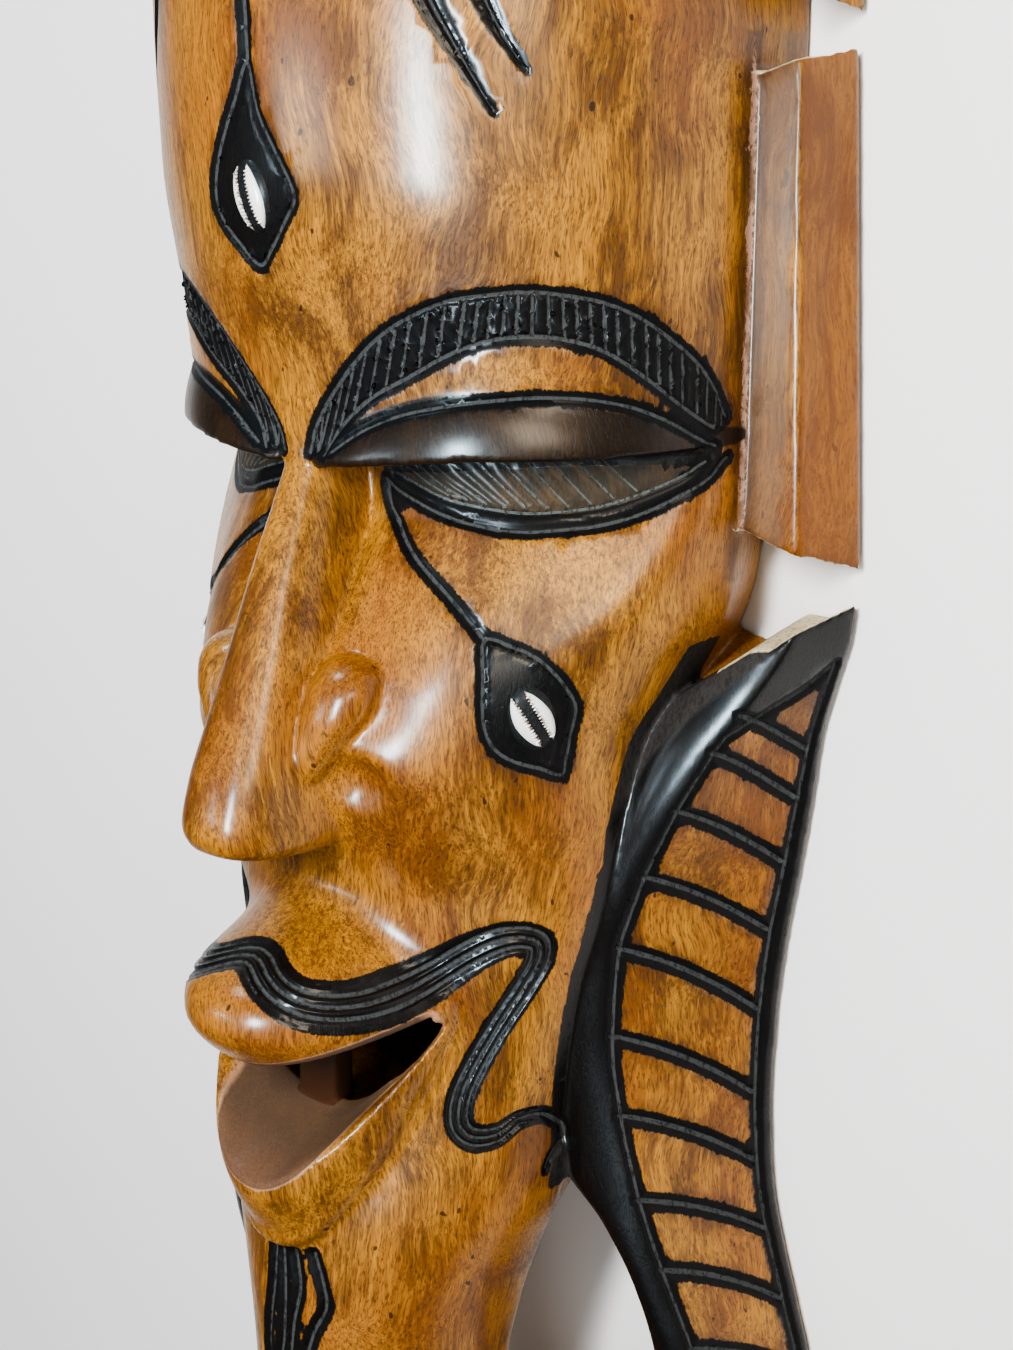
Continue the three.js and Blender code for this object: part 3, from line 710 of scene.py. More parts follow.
def evenly(points):
    """The same path with its points a line step apart along it in space."""
    length = np.r_[0, np.cumsum(np.linalg.norm(np.diff(points, axis=0), axis=1))]
    at = np.linspace(0, length[-1], max(2, int(length[-1] / (LINE_STEP * MM))))
    return np.stack([np.interp(at, length, column) for column in points.T], 1)


# %% Lines that carry their sizes
class Lines:
    """Cut lines gathered as points, each with its sizes in millimetres."""

    UNITS = dict(half_width=MM, depth=MM, flat=1, flutes=1)

    def __init__(self):
        self.points = []
        self.sizes = []

    def add(self, points, half_width, depth, flat=0.0, flutes=0.0):
        """Adds a path; a size is a number, or rows of a share along the path and a number."""
        points = evenly(points)
        share = np.linspace(0, 1, len(points))
        columns = []
        for value in (half_width, depth, flat, flutes):
            rows = value if isinstance(value, list) else [[0, value], [1, value]]
            columns.append(np.interp(share, *np.transpose(rows)))
        self.points.append(points)
        self.sizes.append(np.stack(columns, 1))

    def thing(self, name):
        made = mesh_object(name, np.vstack(self.points))
        for column, (label, unit) in zip(np.vstack(self.sizes).T, self.UNITS.items()):
            note(made.data, label, column * unit)
        return made


THIN = dict(half_width=1.6, depth=1.2)
bands = Lines()
lines = Lines()


def draw(line, side, target=lines, closed=False, **sizes):
    path = curve_through(side_view(line, side), LINE_STEP, closed)
    target.add(drop_on(carving, path), **(sizes or THIN))


# %% [markdown]
# ## Brows and lids
#
# A brow is a band between two long curves, crossed by cuts that crowd where it turns back and
# lean out near the nose. The lower lid has a few slanting cuts of its own.

# %% Brows and lids
BROW_OUTER = [[6, 1], [8.6, 8.7], [16, 19], [27, 30.7], [38, 40.4], [50, 47.6], [60.4, 52], [71, 54],
              [80.3, 55], [88.6, 54], [97, 51], [103.5, 45], [109, 34.6], [111.4, 24.5], [112.4, 13.5]]
BROW_INNER = [[13.5, 1.4], [19, 9.6], [31.5, 20], [46.7, 28.4], [59.4, 35.7], [70, 40], [79.4, 41.4],
              [88, 40.4], [96, 36.3], [102.8, 28], [108, 18.7], [111.7, 10.8]]
LID_LINE = [[17, 2.7], [28.6, 10], [42, 16], [58, 20], [71.4, 22], [82, 22.7], [91.5, 22], [99.7, 19.4],
            [105.6, 14.8], [110, 8.8], [111.5, 4.8]]
LOWER_LID_OUTER = [
    [18.4, -8.7], [25.7, -12.4], [39.5, -16.5], [52.6, -20.2], [66.4, -22], [76.7, -21.4],
    [86.3, -20], [95.6, -16.7], [103.2, -12], [110, -6.4], [112.5, 0.8],
]
LOWER_LID_INNER = [[23, -6.2], [39, -10.8], [52, -14.4], [66, -16.3], [76, -15.8], [85.8, -14],
                   [95, -10.3], [104.7, -4.8], [109.8, 0]]
BROW_HATCHES = 32
HATCH_PLACES = [
    [0, 0.06], [0.2, 0.348], [0.36, 0.53], [0.58, 0.672], [0.71, 0.741], [0.87, 0.849], [1, 0.975],
]
HATCH_LEAN = 0.15
HATCH_UPRIGHT = 88.0     # how far out the brow's cuts begin to stand upright
LID_HATCHES = np.arange(26, 88, 6.6)
LID_HATCH_LEAN = 24.0


def brow_hatches(side):
    outer, inner = (curve_through(line, 0.3) for line in (BROW_OUTER, BROW_INNER))
    for share in np.interp(np.linspace(0, 1, BROW_HATCHES), *np.transpose(HATCH_PLACES)):
        top = outer[int(share * (len(outer) - 1))]
        foot_x = max(inner[0, 0] - 4, top[0] - max(0.0, HATCH_LEAN * (HATCH_UPRIGHT - top[0])))
        foot = np.array([foot_x, np.interp(foot_x, inner[:, 0], inner[:, 1])])
        path = top + np.linspace(0.08, 0.92, 40)[:, None] * (foot - top)
        lines.add(drop_on(carving, side_view(path, side)), half_width=1.0, depth=0.7)


def lower_lid_hatches(side):
    inner = curve_through(LOWER_LID_INNER, 0.5)
    for x in LID_HATCHES:
        foot_x = x + LID_HATCH_LEAN * (1 - x / 140)
        foot = np.interp(foot_x, inner[:, 0], inner[:, 1]) + 1.5
        top = under_eye(x)[0][0] - 1.5
        path = [[x + v * (foot_x - x), top + v * (foot - top)] for v in np.linspace(0, 1, 60)]
        lines.add(drop_on(carving, side_view(path, side)), half_width=1.0, depth=0.45)


# %% [markdown]
# ## Ladders and hair
#
# The ladder lies on the sloping outer face of horn and arch. Its rungs and borders are placed by
# height and by their share of that face's width, and then moved to the nearest skin.

# %% Ladders
WING_RUNGS = [
    [-84, 21], [-97, 27], [-118, 31], [-143, 33], [-170, 38], [-203, 38], [-232, 35], [-262, 30],
    [-287, 31], [-315, 30], [-343, 30], [-371, 28], [-398, 26],
]
ARCH_RUNGS = np.linspace(1.6, 7.0, 10)
RIM_SHARE = 0.88     # share of the face's width where the outer border starts
LADDER_TOP = [[0.03, -92], [0.3, -84], [0.6, -78], [0.9, -70]]     # share across the face and height
LADDER_FOOT = -446
ARCH_SPAN = np.linspace(1.0, 7.9, 800)
RUNG = dict(half_width=2.5, depth=2.1)
BORDER = dict(half_width=1.9, depth=1.4)


def on_wing(side, height, share):
    _, _, arris_x, arris_z, out_x, _ = stations_at(WING, np.atleast_1d(height)).T
    x = arris_x + share * (out_x - arris_x)
    return np.stack([side * x, height, arris_z + share * (EDGE_THICK - arris_z)], 1)


def on_arch(side, t, share):
    _, arris, outer = arch_edges(t).transpose(1, 0, 2)
    return (arris + np.asarray(share)[:, None] * (outer - arris)) * (side, 1, 1)


def ladder_lines(side):
    share = np.linspace(0.02, RIM_SHARE, 70)
    for height, fall in WING_RUNGS:
        heights = height - fall * share * (0.55 + 0.45 * share)
        lines.add(snap_to(carving, on_wing(side, heights, share)), **RUNG)
    for t in ARCH_RUNGS:
        lines.add(snap_to(carving, on_arch(side, t + 0.35 * (1 - share), share)), **RUNG)
    top = curve_through(LADDER_TOP, 0.01)
    lines.add(snap_to(carving, on_wing(side, top[:, 1], top[:, 0])), **BORDER)
    for place, start in (LADDER_TOP[0], LADDER_TOP[-1]):
        heights = np.arange(start, LADDER_FOOT, -LINE_STEP)
        lines.add(snap_to(carving, on_wing(side, heights, np.full(len(heights), place))), **BORDER)
    for place, _ in (LADDER_TOP[0], LADDER_TOP[-1]):
        shares = np.full(len(ARCH_SPAN), place)
        lines.add(snap_to(carving, on_arch(side, ARCH_SPAN, shares)), **BORDER)


# %% Hair
HAIRLINE = [[0, 206], [30, 202], [62, 186], [90, 158]]
HAIR_LOCKS = 12
LOCK_TAPER = [[0, 2.2], [0.8, 1.8], [1, 0.6]]


def hair(side):
    draw(HAIRLINE, side, half_width=2.2, depth=1.8)
    line = curve_through(side_view(HAIRLINE, side), 0.5)
    for share in np.linspace(0.0 if side > 0 else 1 / HAIR_LOCKS, 0.97, HAIR_LOCKS):
        x, y = line[int(share * (len(line) - 1))]
        lock = [[x, y + 2], [x * 0.95 + side * 2, y + 22], [x * 0.86 - side, y + 44],
                [x * 0.74, y + 68]]
        path = curve_through(lock, LINE_STEP)
        lines.add(drop_on(carving, path), half_width=LOCK_TAPER, depth=1.5)


# %% [markdown]
# ## Tears, fringe, moustache and beard
#
# A cut line like a cord runs from each eye, and one down the forehead, into a tear that is stained
# black and holds a shell. Fringe, moustache and beard are wider strokes that taper. The moustache
# is fluted, as if one gouge had run beside another, and loses its flutes towards its end.

# %% Tears and their cords
CHEEK_CORD = [[19.4, -9.9], [21.6, -17.3], [27.8, -23.8], [35.3, -29.7], [44.2, -36], [52.2, -42.3],
              [59.5, -48.8], [65.4, -55.4]]
CHEEK_TEAR = [[65.4, -55.4], [67, -68], [67.6, -76], [68.7, -84.5], [71, -91], [74.5, -95.5], [79, -99],
              [82, -102], [83, -96], [84.4, -88], [86.3, -79.5], [86, -73.7], [83.6, -66.2],
              [78.8, -60.6], [72, -57]]
FOREHEAD_CORD = [[0, 204], [-1, 160], [0, 138], [0, 122]]
FOREHEAD_TEAR = [[0, 122], [-7, 111], [-13, 102], [-19, 91], [-21.8, 80.6], [-19.7, 73.8], [-13, 66.8],
                 [-5, 60.5], [2.2, 66], [10.4, 74.7], [15.7, 81.5], [14.2, 88], [8.7, 97.8], [3.3, 108]]


# %% Fringe, moustache and beard
FRINGE = [
    [[42, 196], [51, 166], [60, 141], [67, 126], [76, 107]],
    [[59, 190], [68, 158], [74, 139], [79, 127], [83, 119]],
    [[20, 203], [24, 184], [27, 170]],
    [[74, 178], [83, 160], [88, 148]],
]
MOUSTACHE = [
    [0, -167], [5, -167.6], [11, -169.6], [20, -173.6], [28, -177], [36, -179], [42, -178.4],
    [48, -174], [56, -167.3], [64, -162], [70, -160.5], [74, -163], [73.5, -170], [69, -181],
    [63.5, -193], [58, -207], [54.5, -219], [54, -229], [57, -235], [62, -236], [66, -231.5],
    [69, -233], [70, -243], [69, -254],
]
MOUSTACHE_WIDTHS = [
    [0, 7.6], [0.12, 8.2], [0.24, 9], [0.34, 7], [0.46, 5], [0.6, 4.2], [0.78, 4.4], [0.86, 2.8],
    [1, 1.6],
]
MOUSTACHE_FLUTES = [[0, 4], [0.3, 4], [0.4, 3], [0.84, 3], [0.9, 1], [1, 1]]
BEARD = [
    [[-3, -283], [-4, -300], [-7, -318], [-8, -340], [-6, -362]],
    [[1, -283], [2, -300], [1, -318], [-2, -336], [-1, -362], [0, -380]],
    [[7, -282], [9, -296], [6, -312], [4, -330], [6, -352], [6, -376]],
    [[15, -281], [18, -292], [19, -302], [14, -314], [11, -328], [13, -348], [15, -366]],
]
FRINGE_SIZES = dict(half_width=[[0, 4.6], [0.6, 3.6], [1, 0.6]], depth=2.2, flat=0.3, flutes=2.0)
MOUSTACHE_SIZES = dict(half_width=MOUSTACHE_WIDTHS, depth=1.5, flat=0.8, flutes=MOUSTACHE_FLUTES)

# %% Draw it all
bpy.context.view_layer.update()
for side in SIDES:
    for line in (BROW_OUTER, BROW_INNER, LID_LINE, LOWER_LID_OUTER):
        draw(line, side)
    draw(LOWER_LID_INNER, side, half_width=1.4, depth=0.9)
    draw(CHEEK_CORD, side, half_width=1.9, depth=1.5)
    draw(CHEEK_TEAR, side, closed=True)
    brow_hatches(side)
    lower_lid_hatches(side)
    for spike in FRINGE:
        draw(spike, side, bands, **FRINGE_SIZES)
    draw(MOUSTACHE, side, bands, **MOUSTACHE_SIZES)
    ladder_lines(side)
    hair(side)
draw(FOREHEAD_CORD, 1, half_width=2.2, depth=1.7)
draw(FOREHEAD_TEAR, 1, closed=True)
for strand in BEARD:
    draw(strand, 1, bands, half_width=2.3, depth=1.8)
line_points = lines.thing("line_points")
band_points = bands.thing("band_points")
print("points on lines", len(line_points.data.vertices), "on bands", len(band_points.data.vertices))

# %% [markdown]
# ## Finer skin where the gouge goes
#
# The skin's quads are too coarse for a two millimetre groove. Only the edges near a cut line are
# halved, so the plain wood stays light.

# %% Halve the edges near the lines
NEAR_LINE = 4.0


def near_points(points, targets, reach):
    """Which points have a target within about reach, by marking the cells round each target."""
    cell = reach / 2
    low = points.min(0) - 2 * reach
    marked = np.zeros(np.ceil((points.max(0) + 2 * reach - low) / cell).astype(int), bool)
    home = ((targets - low) / cell).astype(int)
    for shift in np.ndindex(5, 5, 5):
        marked[tuple((home + np.array(shift) - 2).T)] = True
    return marked[tuple(((points - low) / cell).astype(int).T)]


def refine_near(thing, targets, reach):
    """Halves the edges near the targets and leaves triangles."""
    near = near_points(points_of(thing.data), targets, reach)
    work = bmesh.new()
    work.from_mesh(thing.data)
    edges = [edge for edge in work.edges if all(near[end.index] for end in edge.verts)]
    bmesh.ops.subdivide_edges(work, edges=edges, cuts=1, use_grid_fill=True)
    bmesh.ops.triangulate(work, faces=work.faces[:])
    work.to_mesh(thing.data)
    work.free()


targets = np.vstack([points_of(thing.data) for thing in (line_points, band_points)])
refine_near(carving, targets, NEAR_LINE * MM)
print("triangles before the gouge", len(carving.data.polygons))

# %% [markdown]
# ## Stained beds
#
# The brow bands and the tears are sunk a little and stained black all over, and the lower lids are
# stained black round their edge. Each one is a prism under its drawn outline, and the same distance
# field that carved the head says how far every point is from its edge. The number is kept on the
# mesh, because the stain's ragged edge, later on, is a matter of distance.

# %% Bodies of the stained places
BED_DEPTH = 0.6
FAR = REACH
LID_ABOVE = [[111, 4], [70, 3.5], [40, 0.5], [20, -2]]     # the lower lid's outline under the slit


def brow_outline(side):
    outer, inner = (curve_through(line, 2) for line in (BROW_OUTER, BROW_INNER))
    return side_view(np.vstack([outer, inner[::-1]]), side)


def tear_outline(tear, side):
    return side_view(curve_through(tear, 2, True), side)


def lower_lid_outline(side):
    return side_view(curve_through(LOWER_LID_OUTER + LID_ABOVE, 2, True), side)


def horn_section(_, in_x, in_z, arris_x, arris_z, *rest):
    """Across a skin over the rounded horn, thick enough to hold its surface."""
    return [(in_x - 1, in_z - 9), (in_x - 1, in_z + 12),
            (arris_x, arris_z + 12), (arris_x, arris_z - 9)]


def rim_section(_, in_x, in_z, arris_x, arris_z, out_x, back_x):
    """Across a skin over the outer border of the wing."""
    x = arris_x + RIM_SHARE * (out_x - arris_x)
    z = arris_z + RIM_SHARE * (EDGE_THICK - arris_z)
    return [(x - 2, z - 5), (x, z + 6), (out_x + 5, 12), (out_x + 5, -5)]


def arch_rim_body(side):
    """A skin over the outer border of the arch."""
    rings = []
    for _, arris, outer in arch_edges(np.linspace(1, 7.9, 90)):
        away = (outer - arris) * (1, 1, 0)
        away /= np.linalg.norm(away)
        inner = arris + RIM_SHARE * (outer - arris)
        section = [inner - 2 * away - (0, 0, 5), inner + (0, 0, 6), outer + 5 * away + (0, 0, 8),
                   outer + 5 * away - (0, 0, 8)]
        rings.append(np.array(section) * (side, 1, 1))
    return closed_loft(rings)


# %% Places along the wing
HORN_START = -61.0
RIM_HEIGHTS = (-448, -60)
CHAMFER = [  # height, share of the horn's width
    [-40, 0.97], [-62, 0.90], [-70, 0.80], [-76, 0.68], [-86, 0.53], [-97, 0.41], [-108, 0.31],
    [-130, 0.25], [-448, 0.2],
]


def above_ladder(across, height):
    """Under nought over the black end of the wing, above the ladder's first border."""
    _, _, arris_x, _, out_x, _ = stations_at(WING, height).T
    share = (across - arris_x) / (out_x - arris_x)
    border = np.interp(share, *np.transpose(LADDER_TOP))
    on_face = (share > -0.1) & (height < PANEL[0][0]) & (height > LADDER_TOP[0][1] - 5)
    return np.where(on_face, border - height, FAR)


def chamfer_of_horn(across, height):
    """Over nought on the rough chamfer along the horn, in shares of the horn's width."""
    in_x, _, arris_x, _, _, _ = stations_at(WING, height).T
    share = (across - in_x) / (arris_x - in_x)
    edge = np.interp(height, *np.transpose(sorted(CHAMFER)))
    return np.where((height < PANEL[0][0]) & (height > CHAMFER[-1][0]), edge - share, -1.0)


# %% Notes that the material reads
SEAM = (113.0, 31.0)     # where the panel meets the head: across and deep
FACE_DEPTHS = (20, 175)
FOREHEAD_DEPTHS = (100, 175)
LOWER_LID_DEPTHS = (25, 112)


def measure_places(thing):
    """Keeps on every point how far it lies from each form that has its own colour, gloss or painted
    shade.
    """
    here = to_drawing(points_of(thing.data))
    across, height = np.abs(here[:, 0]), here[:, 1]

    def away_from(*fields):
        return sample(block_of(*fields), here)

    brows = [field_of(prism(brow_outline(side), *FACE_DEPTHS)) for side in SIDES]
    tears = [field_of(prism(tear_outline(CHEEK_TEAR, side), *FACE_DEPTHS)) for side in SIDES]
    tears.append(field_of(prism(tear_outline(FOREHEAD_TEAR, 1), *FOREHEAD_DEPTHS)))
    lids_below = [field_of(prism(lower_lid_outline(side), *LOWER_LID_DEPTHS)) for side in SIDES]
    horns = []
    for side in SIDES:
        for body in (loft_up(WING, 3, horn_section, side), arch_rim_body(side),
                     loft_up(WING, 3, rim_section, side, within=RIM_HEIGHTS)):
            horns.append(field_of(body))
    below_notch = (height < HORN_START) | (across > SEAM[0] + 5) & (height < PANEL[0][0])
    stained = np.where(below_notch, away_from(*horns), FAR)
    beside_panel = (height > PANEL[0][0]) & (height < PANEL[1][0])
    arris = np.interp(height, *np.transpose([row[:2] for row in PANEL]))
    notes = {
        "bed": away_from(*brows, *tears),
        "stained": np.minimum(stained, above_ladder(across, height)),
        "chamfer": chamfer_of_horn(across, height),
        "lower_lid": away_from(*lids_below),
        "upper_lid": away_from(*lids.values()),
        "sawn": np.where(across > SEAM[0] - 2, np.abs(away_from(*notches.values())), FAR),
        "tooth": away_from(tooth),
        "dug": away_from(hollow),
        "mouth": away_from(mouth),
        "seam": np.where(beside_panel, np.hypot(across - SEAM[0], here[:, 2] - SEAM[1]), FAR),
        # the panel's two faces, which the material paints apart as shade and sheen
        "inner_facet": beside_panel & (across > SEAM[0]) & (across < PANEL[1][1]),
        "outer_facet": beside_panel & (across > arris),
    }
    for name, values in notes.items():
        note(thing.data, name, values)


measure_places(carving)
print("bed points", int((noted(carving.data, "bed") < 0).sum()))

# %% [markdown]
# ## The gouge, as Geometry Nodes
#
# What follows a path is a job for Geometry Nodes. The tree finds the nearest line point for every
# point of the skin, turns the distance into a groove's section, and moves the point in along its
# normal. Flutes are a cosine across the groove. The tree also leaves two numbers behind for the
# material: how far a point is from the groove's edge, and how deep in it the point lies.

# %% Nodes written short
class Nodes:
    """Short names for the nodes of one tree, so that each line reads as one step."""

    def __init__(self, tree):
        self.tree = tree

    def new(self, kind, links=None, **settings):
        """A new node with its settings, and links or values for its inputs by name or number."""
        made = self.tree.nodes.new(kind)
        for key, value in settings.items():
            setattr(made, key, value)
        for key, value in (links or {}).items():
            entry = made.inputs[key]
            if isinstance(value, bpy.types.NodeSocket):
                self.tree.links.new(value, entry)
            else:
                entry.default_value = (*value, 1) if entry.type == "RGBA" else value
        return made

    def out(self, kind, links=None, **settings):
        return self.new(kind, links, **settings).outputs[0]

    def maths(self, operation, *values):
        return self.out("ShaderNodeMath", dict(enumerate(values)), operation=operation)

    def vector(self, operation, first, second=None, scale=None):
        links = {0: first, 1: second, "Scale": scale}
        links = {key: value for key, value in links.items() if value is not None}
        made = self.new("ShaderNodeVectorMath", links, operation=operation)
        return made.outputs["Value" if operation == "DISTANCE" else "Vector"]


def geometry_tree(name, kinds, output):
    """An empty tree with named inputs of the given kinds, and the sockets that hold their values."""
    tree = bpy.data.node_groups.new(name, "GeometryNodeTree")
    for label, kind in kinds.items():
        tree.interface.new_socket(name=label, in_out="INPUT", socket_type="NodeSocket" + kind)
    tree.interface.new_socket(name=output, in_out="OUTPUT", socket_type="NodeSocketGeometry")
    nodes = Nodes(tree)
    return nodes, nodes.new("NodeGroupInput").outputs


def ended(nodes, shape, finish):
    """The tree with its last steps: instances made real, and the finish put on."""
    whole = nodes.out("GeometryNodeRealizeInstances", {"Geometry": shape})
    finished = nodes.out("GeometryNodeSetMaterial", {"Geometry": whole, "Material": finish})
    nodes.new("NodeGroupOutput", {0: finished})
    return nodes.tree


# %% Carving tree
SNAP = 0.32 * MM     # points this near a groove's middle or edge are drawn onto it
BED_EDGE = 1.2       # the width of a bed's sloping edge
FLUTE_LOW = 0.6      # a fluted groove's middle depth as a share, and how far the flutes swing from it
FLUTE_SWING = 0.4


def carving_tree():
    nodes, given = geometry_tree("carve_along_points", {
        "Wood": "Geometry", "Line points": "Object", "Bed depth": "Float", "Gap name": "String",
        "Groove name": "String", "Finish": "Material"}, "Carved")
    drawn = nodes.new("GeometryNodeObjectInfo", {"Object": given["Line points"]}).outputs["Geometry"]
    here = nodes.out("GeometryNodeInputPosition")
    nearest = nodes.out("GeometryNodeSampleNearest", {"Geometry": drawn}, domain="POINT")

    def attribute(name):
        return nodes.out("GeometryNodeInputNamedAttribute", {"Name": name}, data_type="FLOAT")

    def of_nearest(value, kind):
        links = {"Geometry": drawn, "Value": value, "Index": nearest}
        return nodes.out("GeometryNodeSampleIndex", links, data_type=kind, domain="POINT")

    def size(name):
        return of_nearest(attribute(name), "FLOAT")

    def kept(shape, name, value):
        links = {"Geometry": shape, "Name": given[name], "Value": value}
        return nodes.out("GeometryNodeStoreNamedAttribute", links, data_type="FLOAT", domain="POINT")

    there = of_nearest(here, "FLOAT_VECTOR")
    half = size("half_width")
    apart = nodes.vector("DISTANCE", here, there)
    centred = nodes.maths("LESS_THAN", apart, SNAP)
    edged = nodes.maths("COMPARE", apart, half, SNAP)
    to_edge = nodes.maths("SUBTRACT", 1.0, nodes.maths("DIVIDE", half, apart))
    pull = nodes.maths("MULTIPLY_ADD", edged, to_edge, centred)
    snapped = nodes.vector("SCALE", nodes.vector("SUBTRACT", there, here), scale=pull)
    apart = nodes.maths("MULTIPLY", apart, nodes.maths("SUBTRACT", 1.0, pull))

    across = nodes.maths("DIVIDE", apart, half)
    to_flat = nodes.maths("SUBTRACT", 1.0, size("flat"))
    wall = nodes.maths("DIVIDE", nodes.maths("SUBTRACT", 1.0, across), to_flat)
    wall = nodes.out("ShaderNodeClamp", {"Value": wall})
    turns = nodes.maths("MULTIPLY", nodes.maths("MULTIPLY", across, size("flutes")), math.pi)
    ripple = nodes.maths("MULTIPLY_ADD", nodes.maths("COSINE", turns), FLUTE_SWING, FLUTE_LOW)
    groove = nodes.maths("MULTIPLY", wall, ripple)
    sunk = nodes.out("ShaderNodeMapRange", {
        "Value": attribute("bed"), 1: 0.0, 2: -BED_EDGE, 3: 0.0, 4: given["Bed depth"]})
    down = nodes.maths("ADD", nodes.maths("MULTIPLY", groove, size("depth")), sunk)

    inwards = nodes.maths("MULTIPLY", down, -1.0)
    move = nodes.vector("SCALE", nodes.out("GeometryNodeInputNormal"), scale=inwards)
    move = nodes.vector("ADD", move, snapped)
    gap = nodes.maths("MULTIPLY", nodes.maths("SUBTRACT", apart, half), 1 / MM)
    shape = kept(given["Wood"], "Gap name", gap)
    shape = kept(shape, "Groove name", groove)
    carved = nodes.out("GeometryNodeSetPosition", {"Geometry": shape, "Offset": move})
    return ended(nodes, carved, given["Finish"])


# %% Gouge the lines, then the bands
def add_nodes(thing, tree, **values):
    """A modifier with a tree, whose inputs are set by the identifiers of the sockets so named."""
    modifier = thing.modifiers.new("nodes", "NODES")
    modifier.node_group = tree
    names = {item.name: item.identifier for item in tree.interface.items_tree
             if item.in_out == "INPUT"}
    for name, value in values.items():
        modifier[names[name.replace("_", " ")]] = value


def baked(thing, name):
    """A plain mesh object from what a thing's modifiers show, with the thing itself removed."""
    graph = bpy.context.evaluated_depsgraph_get()
    shown_now = thing.evaluated_get(graph)
    mesh = bpy.data.meshes.new_from_object(shown_now, preserve_all_data_layers=True, depsgraph=graph)
    bpy.data.objects.remove(thing)
    made = bpy.data.objects.new(name, mesh)
    bpy.context.scene.collection.objects.link(made)
    return made


WOOD_FINISH = "varnished_hardwood"
wood_finish = bpy.data.materials.new(WOOD_FINISH)
gouge = carving_tree()
for targets, kind, depth in ((line_points, "line", 0.0), (band_points, "band", BED_DEPTH * MM)):
    add_nodes(carving, gouge, Line_points=targets, Bed_depth=depth, Gap_name=kind + "_gap",
              Groove_name=kind + "_groove", Finish=wood_finish)
carving = baked(carving, "carving")
print("gouged", len(carving.data.polygons), "triangles")

# %% [markdown]
# ## Lighter where nothing happens
#
# The mask is thinned to about 196,000 triangles. A piece stays under 200,000 triangles.
# Collapsing edges keeps the grooves, because it takes the flattest places first.

# %% Thin the plain wood
MOST_TRIANGLES = 196000
LENGTH_COST = 5e-5     # keeps the triangles that show from growing long
UNSEEN = 1.5           # millimetres from the table or the hollow that nobody looks at


def thinned(thing, most, name):
    """The thing with its flattest edges collapsed, most of all where nobody looks."""
    back = points_of(thing.data)[:, 2] < UNSEEN * MM
    hidden = back | (noted(thing.data, "dug") < UNSEEN)
    plain = thing.vertex_groups.new(name="plain")
    for points, weight in ((hidden, 1.0), (~hidden, 0.5)):
        plain.add(np.flatnonzero(points).tolist(), weight, "REPLACE")
    modifier = thing.modifiers.new("thin", "DECIMATE")
    modifier.ratio = most / len(thing.data.polygons)
    modifier.vertex_group = plain.name
    modifier.vertex_group_factor = LENGTH_COST
    modifier.use_collapse_triangulate = True
    return baked(thing, name)


mask = thinned(carving, MOST_TRIANGLES, "carved_mask")
mask.data.shade_smooth()
print("mask of", len(mask.data.polygons), "triangles")

# %% [markdown]
# ## Varnished hardwood
#
# The wood is a coarse tropical hardwood with pores a millimetre wide and up to a centimetre long,
# in a figure that swirls from gold to brown. Everything is a solid texture in object coordinates,
# so the grain runs through the block as it does in a real carving, and end and side of a facet
# agree. The stain follows the distances kept on the mesh, with a ragged edge from noise. The
# varnish is a glossy coat that the dusty groove bottoms and the raw back do without.

# %% Shading written short
class Shade(Nodes):
    """The nodes of one material, with the sums that these finishes are mixed from."""

    def __init__(self, name):
        self.material = bpy.data.materials.get(name) or bpy.data.materials.new(name)
        self.material.use_nodes = True
        super().__init__(self.material.node_tree)
        self.tree.nodes.clear()
        self.place = self.new("ShaderNodeTexCoord").outputs["Object"]

    def number(self, name):
        return self.new("ShaderNodeAttribute", attribute_name=name).outputs["Fac"]

    def grain(self, stretch, detail=3.0, roughness=0.55, bend=0.0, place=None):
        """Noise with cells about as many metres long as each number of stretch."""
        scale = tuple(1 / size for size in stretch)
        at = self.out("ShaderNodeMapping", {"Vector": place or self.place, "Scale": scale})
        return self.new("ShaderNodeTexNoise", {
            "Vector": at, "Scale": 1.0, "Detail": detail, "Roughness": roughness,
            "Distortion": bend}).outputs["Fac"]

    def between(self, value, low, high, start=0.0, end=1.0):
        return self.out("ShaderNodeMapRange", {"Value": value, 1: low, 2: high, 3: start, 4: end},
                        interpolation_type="SMOOTHSTEP")

    def skin(self, name, clear, gone):
        """One on a kept form's own skin, and nought from some millimetres off it."""
        return self.between(self.maths("ABSOLUTE", self.number(name)), clear, gone, 1.0, 0.0)

    def combined(self, operation, values):
        result = values[0]
        for value in values[1:]:
            result = self.maths(operation, result, value)
        return result

    def all_of(self, *values):
        return self.combined("MULTIPLY", values)

    def most_of(self, *values):
        return self.combined("MAXIMUM", values)

    def mix(self, share, first, second):
        return self.new("ShaderNodeMix", {0: share, 6: first, 7: second}, data_type="RGBA").outputs[2]

    def bump(self, height, distance, strength=1.0, **normal):
        return self.out("ShaderNodeBump", {
            "Height": height, "Distance": distance, "Strength": strength, **normal})

    def finish(self, **inputs):
        shader = self.out("ShaderNodeBsdfPrincipled", {
            name.replace("_", " "): value for name, value in inputs.items()})
        self.new("ShaderNodeOutputMaterial", {"Surface": shader})
        return self.material


